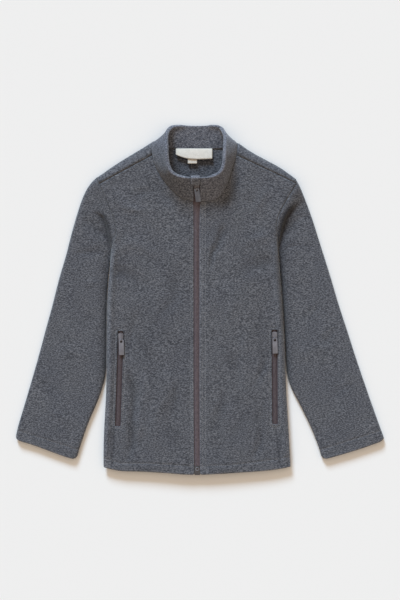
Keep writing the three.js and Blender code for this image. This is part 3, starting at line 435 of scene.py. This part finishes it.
def ramp(tree, value, stops):
    made = node(tree, "ShaderNodeValToRGB")
    elements = made.color_ramp.elements
    elements[0].position, elements[0].color = stops[0]
    elements[1].position, elements[1].color = stops[-1]
    for position, colour in stops[1:-1]:
        elements.new(position).color = colour
    tree.links.new(value, made.inputs["Fac"])
    return made.outputs["Color"]


def mixed(tree, a, b, factor, mode="MIX"):
    made = node(tree, "ShaderNodeMix", data_type="RGBA", blend_type=mode)
    for socket, value in ((made.inputs[6], a), (made.inputs[7], b), (made.inputs[0], factor)):
        if isinstance(value, (int, float, tuple)):
            socket.default_value = value
        else:
            tree.links.new(value, socket)
    return made.outputs[2]


def maths(tree, kind, a, b=None):
    made = node(tree, "ShaderNodeMath", operation=kind)
    for socket, value in zip(made.inputs, (a, b)):
        if value is None:
            continue
        if isinstance(value, (int, float)):
            socket.default_value = value
        else:
            tree.links.new(value, socket)
    return made.outputs[0]


def bumped(tree, shader, layers):
    """Chain of bumps: height socket, strength, distance."""
    last = None
    for height, strength, distance in layers:
        bump = node(tree, "ShaderNodeBump", {"Strength": strength, "Distance": distance})
        tree.links.new(height, bump.inputs["Height"])
        if last is not None:
            tree.links.new(last, bump.inputs["Normal"])
        last = bump.outputs["Normal"]
    tree.links.new(last, shader.inputs["Normal"])


def fleece(name, dark, middle, light, highlight_tint):
    """Brushed heather fleece: fine short fibres of several greys, with a low nap. Painted seam shade, painted
    highlight and painted shade from the mesh's attributes are laid on its colour.
    """
    made, tree, shader = material(name)
    place = node(tree, "ShaderNodeTexCoord").outputs["Object"]
    fine = noise(tree, place, 1200, 2, 0.6, ((0.8, 1.15, 1), (0, 0, 0.3)))
    strands = noise(tree, place, 600, 2, 0.7, ((0.58, 1.3, 1), (0, 0, -0.1)))
    clumps = noise(tree, place, 230, 2, 0.6, ((0.8, 1.1, 1), (0, 0, 0.1)))
    broad = noise(tree, place, 20, 2, 0.5)
    heather = maths(tree, "ADD", maths(tree, "MULTIPLY", fine, 0.25), maths(tree, "MULTIPLY", strands, 0.75))
    tint = ramp(tree, heather, [(0.41, dark), (0.5, middle), (0.59, light)])
    mottle = ramp(tree, clumps, [(0.34, (0.94, 0.94, 0.95, 1)), (0.68, (1.06, 1.06, 1.05, 1))])
    shade = ramp(tree, broad, [(0.35, (0.95, 0.955, 0.97, 1)), (0.65, (1.05, 1.045, 1.03, 1))])
    colour = mixed(tree, mixed(tree, tint, mottle, 1.0, "MULTIPLY"), shade, 1.0, "MULTIPLY")
    edge = node(tree, "ShaderNodeAttribute", attribute_name="edge").outputs["Fac"]
    groove = node(tree, "ShaderNodeAttribute", attribute_name="groove").outputs["Fac"]
    # Painted highlight on rounded loose edges and on lit places
    free = node(tree, "ShaderNodeAttribute", attribute_name="free").outputs["Fac"]
    painted_shade = node(tree, "ShaderNodeAttribute", attribute_name="painted_shade").outputs["Fac"]
    # Painted shade along the sewn seams
    sunk = ramp(tree, edge, [(0.1, (1, 1, 1, 1)), (1.0, (0.9, 0.9, 0.905, 1))])
    painted_highlight = ramp(tree, free, [(0.1, (1, 1, 1, 1)), (1.0, highlight_tint)])
    # Painted shade in crease troughs, beside the sleeve drops, along the pocket openings and seams, and inside the
    # neck opening
    painted_shade_tint = ramp(tree, painted_shade, [(0.0, (1, 1, 1, 1)), (1.0, (0.3, 0.3, 0.32, 1))])
    # Cloth colour with the painted seam shade, painted highlight and painted shade laid on it
    wear_and_painted_light = mixed(tree, mixed(tree, colour, sunk, 1.0, "MULTIPLY"), painted_highlight, 1.0, "MULTIPLY")
    wear_and_painted_light = mixed(tree, wear_and_painted_light, painted_shade_tint, 1.0, "MULTIPLY")
    tree.links.new(wear_and_painted_light, shader.inputs["Base Color"])
    shader.inputs["Roughness"].default_value = 0.93
    shader.inputs["Specular IOR Level"].default_value = 0.18
    shader.inputs["Sheen Weight"].default_value = 0.22
    shader.inputs["Sheen Roughness"].default_value = 0.6
    nap = maths(tree, "ADD", maths(tree, "MULTIPLY", clumps, 0.7), maths(tree, "MULTIPLY", strands, 0.3))
    bumped(tree, shader, [
        (maths(tree, "ADD", maths(tree, "MULTIPLY", edge, -1.0), maths(tree, "MULTIPLY", groove, -0.3)), 1.0, 0.0007),
        (nap, 0.6, 0.0012),
        (fine, 0.5, 0.0004),
    ])
    return made


def woven(name, dark, light, across=1250, ribs=0.35):
    """Plain woven tape or label."""
    made, tree, shader = material(name)
    place = node(tree, "ShaderNodeTexCoord").outputs["Object"]
    warp = node(tree, "ShaderNodeTexWave", {"Scale": across, "Distortion": 0.6, "Detail": 1.0},
                wave_type="BANDS", bands_direction="X")
    weft = node(tree, "ShaderNodeTexWave", {"Scale": across * 0.8, "Distortion": 0.6, "Detail": 1.0},
                wave_type="BANDS", bands_direction="Y")
    tree.links.new(place, warp.inputs["Vector"])
    tree.links.new(place, weft.inputs["Vector"])
    weave = maths(tree, "MULTIPLY", warp.outputs["Fac"], weft.outputs["Fac"])
    patchy = noise(tree, place, 260, 2, 0.6)
    value = maths(tree, "ADD", maths(tree, "MULTIPLY", weave, 0.5), maths(tree, "MULTIPLY", patchy, 0.5))
    tree.links.new(ramp(tree, value, [(0.15, dark), (0.7, light)]), shader.inputs["Base Color"])
    shader.inputs["Roughness"].default_value = 0.82
    shader.inputs["Specular IOR Level"].default_value = 0.25
    shader.inputs["Sheen Weight"].default_value = 0.1
    bumped(tree, shader, [(weave, ribs, 0.0003), (patchy, 0.2, 0.0003)])
    return made


def metal(name, colour, wear_and_painted_light):
    """Painted zip metal with a satin face, rubbed lighter in places."""
    made, tree, shader = material(name)
    place = node(tree, "ShaderNodeTexCoord").outputs["Object"]
    speck = noise(tree, place, 900, 3, 0.6)
    smear = noise(tree, place, 120, 2, 0.5)
    tree.links.new(ramp(tree, smear, [(0.4, colour), (0.7, wear_and_painted_light)]), shader.inputs["Base Color"])
    rough = ramp(tree, speck, [(0.3, (0.48, 0.48, 0.48, 1)), (0.7, (0.62, 0.62, 0.62, 1))])
    tree.links.new(rough, shader.inputs["Roughness"])
    shader.inputs["Metallic"].default_value = 0.25
    shader.inputs["Specular IOR Level"].default_value = 0.3
    bumped(tree, shader, [(speck, 0.12, 0.0002)])
    return made


# Fleece colours: dark, middle and light greys, and the tint of the painted highlight
FLEECE = fleece(
    "fleece", linear(48, 50, 57), linear(79, 81, 88), linear(112, 114, 121), (1.34, 1.34, 1.33, 1))
# The body's fleece made lighter and bluer: painted light for the collar and chin guard, whose faces turn away from
# the key light into warm shade
COLLAR = fleece(
    "collar_fleece", linear(53, 55, 63), linear(87, 90, 100), linear(122, 125, 134), (1.37, 1.36, 1.37, 1))
TAPE = woven("zip_tape", linear(80, 71, 78), linear(122, 111, 118))
TEETH = woven("zip_teeth", linear(84, 75, 81), linear(133, 122, 128), 900, 0.15)
POCKET_TAPE = woven("pocket_tape", linear(66, 57, 63), linear(102, 92, 97))
POCKET_TEETH = woven("pocket_zip_teeth", linear(74, 67, 71), linear(118, 108, 113), 900, 0.15)
LABEL = woven("woven_label", linear(202, 196, 186), linear(235, 229, 220), 1500, 0.3)
METAL = metal("zip_metal", linear(116, 116, 124), linear(136, 136, 144))
# The pull metal made lighter and bluer for the main pull: painted light where it lies in warm shade
MAIN_PULL_METAL = metal("main_pull_metal", linear(122, 130, 148), linear(142, 150, 166))
SLIDER_METAL = metal("slider_metal", linear(98, 96, 102), linear(124, 122, 128))
BOX_METAL = metal("zip_box_metal", linear(66, 64, 66), linear(88, 86, 88))
THREAD = woven("thread", linear(112, 114, 120), linear(158, 160, 165), 2400, 0.3)


# Cloth pieces
def lines_for_grooves():
    """Plan lines of the topstitching, in millimetres, by the cloth they are sewn on."""
    zip_at = lambda y: np.interp(y, [ZIP_FOOT[0], ZIP_BEND[0], 200], [ZIP_FOOT[1], ZIP_BEND[1], ZIP_BEND[1]])
    ys = np.arange(-272, 156, 1.0)
    found = {"front_left": [], "front_right": []}
    for name, sign, offsets in (("front_left", -1, (4.2,)), ("front_right", 1, (3.6, 8.6))):
        for offset in offsets:
            found[name].append([(zip_at(y) + sign * (ZIP_HALF + offset), y) for y in ys])
    for name, (x0, y0, x1, y1) in POCKETS.items():
        length = math.hypot(x1 - x0, y1 - y0)
        way = ((x1 - x0) / length, (y1 - y0) / length)
        half = 9.5 / 2 + POCKET_STITCH
        corners = [(-half, -POCKET_STITCH), (half, -POCKET_STITCH), (half, length + POCKET_STITCH),
                   (-half, length + POCKET_STITCH), (-half, -POCKET_STITCH)]
        line = []
        for (a0, s0), (a1, s1) in zip(corners, corners[1:]):
            steps = int(math.hypot(a1 - a0, s1 - s0))
            for k in range(steps):
                a = a0 + (a1 - a0) * k / steps
                s = s0 + (s1 - s0) * k / steps
                line.append((x0 + way[0] * s - way[1] * a, y0 + way[1] * s + way[0] * a))
        found[f"front_{name}"].append(line)
    return found


# Seam from each pocket down to the hem, sewn flat: plan points in millimetres
POCKET_SEAMS = {
    "front_left": [(-137, -204), (-138, -225), (-139.5, -247), (-140, -262)],
    "front_right": [(121, -203), (124, -225), (126, -245), (127, -262)],
}
STITCH_LINES = lines_for_grooves()


HEM_EDGE = [
    (-155, -266), (-147, -269), (-128, -275), (-90, -275), (-51, -277), (-13, -280),
    (45, -278), (83, -274), (122, -269), (146, -264),
]


def hem_y(x):
    return np.interp(x, [p[0] for p in HEM_EDGE], [p[1] for p in HEM_EDGE])


for piece_name, low_x, high_x in (("front_left", -152, -11), ("front_right", 2, 143)):
    xs = np.arange(low_x, high_x, 1.0)
    STITCH_LINES[piece_name].append([(x, float(hem_y(x)) + 16) for x in xs])

# Lower edges of the sleeves: inner and outer end of the cuff, x, y
CUFFS = {"sleeve_left": ((-197, -254), (-295.5, -222)), "sleeve_right": ((195, -254), (295.5, -222))}
for piece_name, ((x0, y0), (x1, y1)) in CUFFS.items():
    length = math.hypot(x1 - x0, y1 - y0)
    up = (-(y1 - y0) / length, (x1 - x0) / length)
    if up[1] < 0:
        up = (-up[0], -up[1])
    count = int(length)
    STITCH_LINES[piece_name] = [[
        (x0 + (x1 - x0) * k / count + up[0] * 16, y0 + (y1 - y0) * k / count + up[1] * 16)
        for k in range(3, count - 2)
    ]]


def pocket_shade(x, y, pocket):
    """Painted shade along the edges of a pocket opening, deepest beside the pull tab."""
    x0, y0, x1, y1 = pocket
    length = math.hypot(x1 - x0, y1 - y0)
    along = ((x - x0) * (x1 - x0) + (y - y0) * (y1 - y0)) / length
    across = ((x - x0) * (y1 - y0) - (y - y0) * (x1 - x0)) / length
    gap = np.abs(across) - POCKET_HALF
    rim = np.exp(-(gap / POCKET_SHADE_REACH) ** 2)
    beside_pull = smooth((PULL_FOOT - along) / 4)
    within = smooth((along + 4) / 3) * smooth((length + 4 - along) / 3)
    return rim * within * (POCKET_SHADE + (PULL_SHADE - POCKET_SHADE) * beside_pull)


def dress_cloth(name, levels, table, material_used):
    """A node's form as fine cloth: creases, rounded seams, grooves along the stitching, with painted shade and
    painted highlight stored on it.
    """
    around = cloth_neighbours(name)
    mesh = refined(name, levels, 50, around)
    co = points_of(mesh)
    x, y, z = co[:, 0] / MM, co[:, 1] / MM, co[:, 2] / MM
    rims = sharp_lines(mesh, 40)
    sewn = [p for p in rims if around.find_nearest(p, 1.2 * MM)[0] is not None]
    loose = [p for p in rims if around.find_nearest(p, 1.2 * MM)[0] is None]
    near = nearest(co, sewn)
    out = nearest(co, loose)
    any_edge = np.minimum(near, out)
    co += normals_of(mesh) * NAP
    top = smooth((z - 4.5) / 6.0)
    height = crease_height(x, y, table) * top
    small = (wave(x, y, 3.0, 17) * 0.25 + wave(x, y, 5.0, 7.5) * 0.12) * MM * top
    small += wave(x, y / 2.4, 7.0, 30) * BROAD_SWELL * MM * top * (0.0 if name == "collar" else 1.0)
    calm = smooth((near / MM - 1.0) / 14.0)
    away_from_zip = smooth((np.abs(x + 5.3) - 14) / 22) if name.startswith("front") else 1.0
    shift = (height * np.maximum(calm, 0.35) * away_from_zip) + small * smooth(any_edge / MM / 6)
    if name == "back":
        shift += crease_height(x, y, BACK_CREASES) * (1 - smooth((z - 2.0) / 3.0)) * calm
    if name == "collar":
        puff = RIM_PUFF * np.exp(-(out / (RIM_REACH * MM)) ** 2)
        ripple = RIM_WAVE * wave(x, y, 2.0, 15) * smooth(near / (12 * MM))
        clear = smooth((np.abs(x + 5.3) - 13) / 12)
        ways = normals_of(mesh)
        co += ways * ((puff + ripple) * clear * MM)[:, None]
    # Painted shade in crease troughs and painted highlight on crease ridges
    painted_shade = np.clip(-height * calm * away_from_zip / MM, 0, 3) * TROUGH_SHADE
    lit = np.clip(height * calm * away_from_zip / MM, 0, 3) * RIDGE_LIGHT
    if name == "collar":
        # Painted light on the collar's front face, which turns away from the key light; the inner back is made
        # lighter too; painted shade on its left side, which faces the light
        lit += 0.75 * smooth(-1.4 * ways[:, 1]) * smooth((x + 34) / 50) + 0.4 * smooth((y - 236) / 20)
        painted_shade += 0.28 * smooth((-22 - x) / 26) * smooth(-3 * ways[:, 0])
    if name == "back":
        # Painted shade inside the neck opening, on the back panel
        painted_shade += NECK_SHADE * np.exp(-((x + 8) / 34) ** 2 - ((y - 212) / 24) ** 2)
    for side, sign in (("left", 1), ("right", -1)):
        if not name.endswith(side):
            continue
        if name.startswith("front"):
            # Painted shade along the pocket opening
            painted_shade += pocket_shade(x, y, POCKETS[side])
            # Painted highlight beside the zip, where the front's edge catches the light
            beside_zip = np.abs(x + 5.3) - PLACKET_MIDDLE
            lit += PLACKET_LIGHT[side] * np.exp(-(beside_zip / PLACKET_REACH) ** 2)
        off, ahead = beside_line(x, y, DROPS[side])
        off = off * sign
        fade = smooth(ahead / DROP_FADE)
        if name.startswith("sleeve"):
            depth = DROP_SINK * np.exp(-(np.maximum(off, 0) / DROP_REACH) ** 2) * smooth((off + 2.5) / 3.5)
            shift -= depth * fade * smooth((z - 3.4) / 2.5) * MM
            # Painted shade that the body's edge casts on the sleeve beside the drop
            line_shade, line_reach, band_shade, band_reach = DROP_SHADE[side]
            beside = np.maximum(off, 0)
            shade = line_shade * np.exp(-(beside / line_reach) ** 2)
            shade += band_shade * np.exp(-(beside / band_reach) ** 2)
            painted_shade += shade * fade * smooth((z - 3.0) / 3.0) * smooth((off + 9) / 6)
        else:
            crest = EDGE_CREST * np.exp(-((off + 6) / 5.0) ** 2) * smooth((z - 6.0) / 5.0)
            shift += crest * smooth((y + 262) / 26) * smooth((100 - y) / 30) * MM
            if side == "left":
                # Painted highlight along the left body edge, which faces the light
                lit += LIT_EDGE * np.exp(-((off + 3.5) / 3.5) ** 2) * smooth((90 - y) / 30)
    co[:, 2] = np.maximum(co[:, 2] + shift, 0)
    if name in ("back", "front_left", "front_right"):
        co[:, 1] += hem_rise(x, y)
    for corner_x, corner_y in CUFFS.get(name, ()):
        gap = np.hypot(x - corner_x, y - corner_y)
        inward = 1 if corner_x < (CUFFS[name][0][0] + CUFFS[name][1][0]) / 2 else -1
        pull_in = CORNER_ROUND * np.exp(-(gap / CORNER_REACH) ** 2) * MM
        co[:, 0] += pull_in * 0.5 * inward
        co[:, 1] += pull_in
    set_points(mesh, co)
    store(mesh, "edge", np.clip(1 - near / SEAM_ROUND, 0, 1) ** 1.5)
    # Painted highlight within 5 mm of the loose edges, and the painted light gathered in lit
    store(mesh, "free", np.maximum(np.clip(1 - out / (5 * MM), 0, 1) ** 1.3, lit))
    lines = [close_points(line) for line in STITCH_LINES.get(name, [])]
    if name in POCKET_SEAMS:
        seam = close_points(POCKET_SEAMS[name])
        # Painted shade along the seam from the pocket to the hem
        painted_shade += SEAM_SHADE * np.exp(-(distance_to(co, [seam]) / (1.7 * MM)) ** 2) * smooth((z - 5.0) / 3.0)
        lines.append(seam)
    # Painted shade, stored for the cloth material
    store(mesh, "painted_shade", np.clip(painted_shade, 0, 1))
    groove = np.zeros(len(co))
    if lines:
        groove = np.exp(-(distance_to(co, lines) / (1.5 * MM)) ** 2) * smooth((z - 5.0) / 3.0)
        co[:, 2] -= groove * 0.4 * MM
        set_points(mesh, co)
    store(mesh, "groove", groove)
    shade_smooth(mesh)
    obj = link(name + "_cloth", mesh, material_used)
    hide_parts(name)
    return obj


LEVELS = {"back": 1, "front_left": 3, "front_right": 3, "sleeve_left": 3, "sleeve_right": 3,
          "collar": 3, "chin_guard": 2}
CLOTH = {}
for cloth_name, table in (
    ("back", CREASES), ("front_left", CREASES), ("front_right", CREASES),
    ("sleeve_left", SLEEVE_CREASES), ("sleeve_right", SLEEVE_CREASES),
    ("collar", []),
):
    level = LEVELS[cloth_name]
    used, slot_name = (COLLAR, "collar_fleece") if cloth_name == "collar" else (FLEECE, "fleece")
    CLOTH[cloth_name] = dress_cloth(cloth_name, level, table, used)
CLOTH["chin_guard"] = dress_cloth("chin_guard", 3, [], COLLAR)

for tape in ("zip_tape_left", "zip_tape_right", "pocket_tape_left", "pocket_tape_right"):
    NODES[tape].data.materials.clear()
    NODES[tape].data.materials.append(POCKET_TAPE if tape.startswith("pocket") else TAPE)


# Hard pieces with softened edges
def softened(name, width, body, material_used):
    mesh = NODES[name].data.copy()
    mesh.name = name
    bm = bmesh.new()
    bm.from_mesh(mesh)
    bmesh.ops.remove_doubles(bm, verts=bm.verts, dist=0.00001)
    bmesh.ops.dissolve_limit(bm, angle_limit=math.radians(1), verts=bm.verts, edges=bm.edges)
    sharp = [e for e in bm.edges if len(e.link_faces) == 2 and e.calc_face_angle(0) > math.radians(35)]
    bmesh.ops.bevel(bm, geom=sharp, offset=width, segments=2, profile=0.6, affect="EDGES", clamp_overlap=True)
    bm.to_mesh(mesh)
    bm.free()
    if name == "zip_box":
        co = points_of(mesh)
        co[:, 1] += hem_rise(np.array([RING[0]]), np.array([HEM_RISE_FROM - HEM_RISE_REACH]))
        set_points(mesh, co)
    shade_smooth(mesh)
    obj = link(name + "_metal", mesh, material_used, body)
    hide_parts(name)
    return obj


ZIP_BOX = softened("zip_box", 0.22 * MM, "jacket", BOX_METAL)
for name, body in (
    ("zip_slider", "jacket"), ("zip_pull", "main_pull"),
    ("pocket_slider_left", "jacket"), ("pocket_pull_left", "left_pocket_pull"),
    ("pocket_slider_right", "jacket"), ("pocket_pull_right", "right_pocket_pull"),
):
    used = MAIN_PULL_METAL if name == "zip_pull" else METAL if "pull" in name else SLIDER_METAL
    softened(name, 0.22 * MM, body, used)


# Surfaces to sew on and set teeth on
def tree_of(*objects):
    points = []
    faces = []
    for obj in objects:
        start = len(points)
        points.extend(v.co.copy() for v in obj.data.vertices)
        faces.extend([start + i for i in p.vertices] for p in obj.data.polygons)
    return BVHTree.FromPolygons(points, faces)


def drop(tree, x, y, high=0.06):
    """Top surface point and its way out, straight below a plan point in metres."""
    hit, normal, _, _ = tree.ray_cast(Vector((x, y, high)), Vector((0, 0, -1)))
    return hit, normal


def capsule(verts, faces, centre, way, out, length, wide, tall):
    """A rounded dash of thread, sunk a little into the cloth."""
    side = way.cross(out).normalized()
    rings = [(-0.5, 0.35), (-0.36, 0.85), (0, 1.0), (0.36, 0.85), (0.5, 0.35)]
    start = len(verts)
    turns = 6
    for share, scale in rings:
        for k in range(turns):
            angle = 2 * math.pi * k / turns
            verts.append(
                centre + way * (length * share)
                + side * (wide * scale * math.cos(angle)) + out * (tall * scale * math.sin(angle)))
    for r in range(len(rings) - 1):
        for k in range(turns):
            a = start + r * turns + k
            b = start + r * turns + (k + 1) % turns
            faces.append((a, b, b + turns, a + turns))
    faces.append(tuple(start + k for k in reversed(range(turns))))
    faces.append(tuple(start + (len(rings) - 1) * turns + k for k in range(turns)))


def mesh_piece(name, verts, faces, material_used, body):
    mesh = bpy.data.meshes.new(name)
    mesh.from_pydata([tuple(v) for v in verts], [], faces)
    mesh.update()
    shade_smooth(mesh)
    return link(name, mesh, material_used, body)


def stitches(name, tree, lines, material_used, body="jacket"):
    """Rows of thread along plan lines in millimetres, laid on the surface below them."""
    verts, faces = [], []
    for line in lines:
        run = 0.0
        points = [Vector((p[0] * MM, p[1] * MM, 0)) for p in line]
        for a, b in zip(points, points[1:]):
            gap = (b - a).length
            way = (b - a).normalized()
            while run < gap:
                at = a + way * run
                hit, out = drop(tree, at.x, at.y)
                run += STITCH_PITCH
                if hit is None or out.z < 0.2:
                    continue
                along = (way - out * way.dot(out)).normalized()
                centre = hit + out * (STITCH_ROUND * 0.5 - STITCH_SINK)
                capsule(verts, faces, centre, along, out, STITCH_LENGTH, STITCH_ROUND, STITCH_ROUND * 0.8)
            run -= gap
    return mesh_piece(name, verts, faces, material_used, body)


for sewn_name in ("front_left", "front_right", "sleeve_left", "sleeve_right"):
    stitches(
        f"{sewn_name}_stitching", tree_of(CLOTH[sewn_name]), STITCH_LINES[sewn_name], THREAD)


# Zip teeth
def zip_centre(y):
    return float(np.interp(y, [ZIP_FOOT[0], ZIP_BEND[0], 200], [ZIP_FOOT[1], ZIP_BEND[1], ZIP_BEND[1]]))


def tooth(verts, faces, centre, way, side, out, long, wide, tall):
    start = len(verts)
    shape = [(-0.5, 0.34), (0.2, 0.34), (0.34, 0.5), (0.5, 0.42), (0.5, -0.42), (0.34, -0.5), (0.2, -0.34), (-0.5, -0.34)]
    for lift, scale in ((-0.3, 1.0), (0.7, 1.0), (1.0, 0.72)):
        for a, b in shape:
            verts.append(centre + side * (a * long * scale) + way * (b * wide * scale) + out * (lift * tall))
    n = len(shape)
    for level_at in range(2):
        for k in range(n):
            a = start + level_at * n + k
            b = start + level_at * n + (k + 1) % n
            faces.append((a, b, b + n, a + n))
    faces.append(tuple(start + k for k in reversed(range(n))))
    faces.append(tuple(start + 2 * n + k for k in range(n)))


def main_teeth():
    tree = tree_of(NODES["zip_tape_left"], NODES["zip_tape_right"])
    verts, faces = [], []
    y = -262.0
    index = 0
    while y < 192.5:
        x = zip_centre(y)
        hit, out = drop(tree, (x - 1.4) * MM, y * MM)
        y_step = TOOTH_PITCH / 2
        if hit is not None:
            out = Vector((0, out.y, out.z)).normalized()
            way = Vector((1, 0, 0)).cross(out)
            way = -way if way.y < 0 else way
            sign = 1 if index % 2 else -1
            centre = Vector((x * MM, hit.y, hit.z)) + Vector((sign * 0.95 * MM, 0, 0))
            tooth(verts, faces, centre, way, Vector((-sign, 0, 0)), out,
                  TOOTH_LENGTH * MM, TOOTH_WIDTH * MM, TOOTH_HEIGHT * MM)
            y_step *= max(way.y, 0.3)
        y += y_step
        index += 1
    return mesh_piece("zip_teeth", verts, faces, TEETH, "jacket")


def pocket_teeth(name):
    tree = tree_of(NODES[f"pocket_tape_{name}"])
    x0, y0, x1, y1 = POCKETS[name]
    length = math.hypot(x1 - x0, y1 - y0)
    way = Vector(((x1 - x0) / length, (y1 - y0) / length, 0))
    side = Vector((-way.y, way.x, 0))
    verts, faces = [], []
    count = int((length - 4) / 0.9)
    for k in range(count):
        s = 2 + k * 0.9
        sign = 1 if k % 2 else -1
        at = Vector((x0, y0, 0)) * MM + way * (s * MM)
        hit, out = drop(tree, at.x, at.y)
        if hit is None:
            continue
        tooth(verts, faces, hit + side * (sign * 0.7 * MM), way, side * -sign, Vector((0, 0, 1)),
              1.9 * MM, 1.0 * MM, 0.42 * MM)
    return mesh_piece(f"pocket_teeth_{name}", verts, faces, POCKET_TEETH, "jacket")


TEETH_MAIN = main_teeth()
TEETH_LEFT = pocket_teeth("left")
TEETH_RIGHT = pocket_teeth("right")


def ring(name, tree, centre, radius, round_off):
    """A pressed ring lying on a surface."""
    hit, out = drop(tree, centre[0] * MM, centre[1] * MM)
    turns, sides = 28, 10
    verts, faces = [], []
    for k in range(turns):
        turn = 2 * math.pi * k / turns
        away = Vector((math.cos(turn), math.sin(turn), 0))
        for j in range(sides):
            angle = 2 * math.pi * j / sides
            verts.append(
                hit + away * ((radius + round_off * math.cos(angle)) * MM)
                + Vector((0, 0, round_off * (0.4 + math.sin(angle)) * MM)))
            a, b = k * sides + j, k * sides + (j + 1) % sides
            step = sides if k < turns - 1 else sides - turns * sides
            faces.append((a, a + step, b + step, b))
    return mesh_piece(name, verts, faces, METAL, "jacket")


ring("zip_box_ring", tree_of(ZIP_BOX), RING, RING_RADIUS, RING_ROUND)


# Label and tab
def strip(name, levels):
    mesh = refined(name, levels, 60)
    shade_smooth(mesh)
    obj = link(name + "_strip", mesh, LABEL)
    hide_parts(name)
    return obj


LABEL_PIECE = strip("neck_label", 2)
TAB_PIECE = strip("size_tab", 2)


# Stage, light and camera
def floor():
    bm = bmesh.new()
    bmesh.ops.create_grid(bm, x_segments=2, y_segments=2, size=3.0)
    mesh = bpy.data.meshes.new("floor")
    bm.to_mesh(mesh)
    bm.free()
    obj = bpy.data.objects.new("floor", mesh)
    bpy.context.scene.collection.objects.link(obj)
    made, tree, shader = material("floor")
    place = node(tree, "ShaderNodeTexCoord").outputs["Object"]
    grain = noise(tree, place, 900, 2, 0.5)
    tree.links.new(
        ramp(tree, grain, [(0.3, linear(239, 239, 239)), (0.7, linear(241, 241, 241))]),
        shader.inputs["Base Color"])
    shader.inputs["Roughness"].default_value = 0.9
    shader.inputs["Specular IOR Level"].default_value = 0.1
    mesh.materials.append(made)
    obj.location.z = -0.0002


floor()


# Sky that is brightest overhead, with the same light on the surface as an even one
SKY_STRENGTH = 1.5

# Key light: the way it travels over the surface, and its height
KEY_WAY = (0.27, -0.96)
KEY_HEIGHT = math.radians(28)
key_data = bpy.data.lights.new("key", "SUN")
key_data.angle = math.radians(20)
key_data.energy = 3.05
key_data.color = (0.76, 1.0, 1.235)
key = bpy.data.objects.new("key", key_data)
bpy.context.scene.collection.objects.link(key)
reach = math.cos(KEY_HEIGHT) / math.hypot(*KEY_WAY)
key.rotation_euler = Vector(
    (KEY_WAY[0] * reach, KEY_WAY[1] * reach, -math.sin(KEY_HEIGHT))).to_track_quat("-Z", "Y").to_euler()

world = bpy.data.worlds.new("studio")
bpy.context.scene.world = world
world.use_nodes = True
sky = world.node_tree
way_out = node(sky, "ShaderNodeTexCoord").outputs["Generated"]
split = node(sky, "ShaderNodeSeparateXYZ")
sky.links.new(way_out, split.inputs[0])
overhead = maths(sky, "MULTIPLY", maths(sky, "MAXIMUM", split.outputs["Z"], 0.0), SKY_STRENGTH)
sky.links.new(overhead, sky.nodes["Background"].inputs["Strength"])
sky.nodes["Background"].inputs["Color"].default_value = (0.64, 0.532, 0.425, 1)
bpy.context.scene.view_settings.view_transform = "Standard"

CAMERA_HEIGHT = 4.0
camera_data = bpy.data.cameras.new("camera")
camera = bpy.data.objects.new("camera", camera_data)
bpy.context.scene.collection.objects.link(camera)
tall = PHOTO[1] * PIXEL
camera_data.sensor_fit = "VERTICAL"
camera_data.sensor_height = 24
camera_data.lens = 24 * CAMERA_HEIGHT / tall
camera.location = (
    (PHOTO[0] / 2 - ORIGIN_PIXEL[0]) * PIXEL,
    (ORIGIN_PIXEL[1] - PHOTO[1] / 2) * PIXEL,
    CAMERA_HEIGHT,
)
camera.rotation_euler = (0, 0, 0)
bpy.context.scene.camera = camera
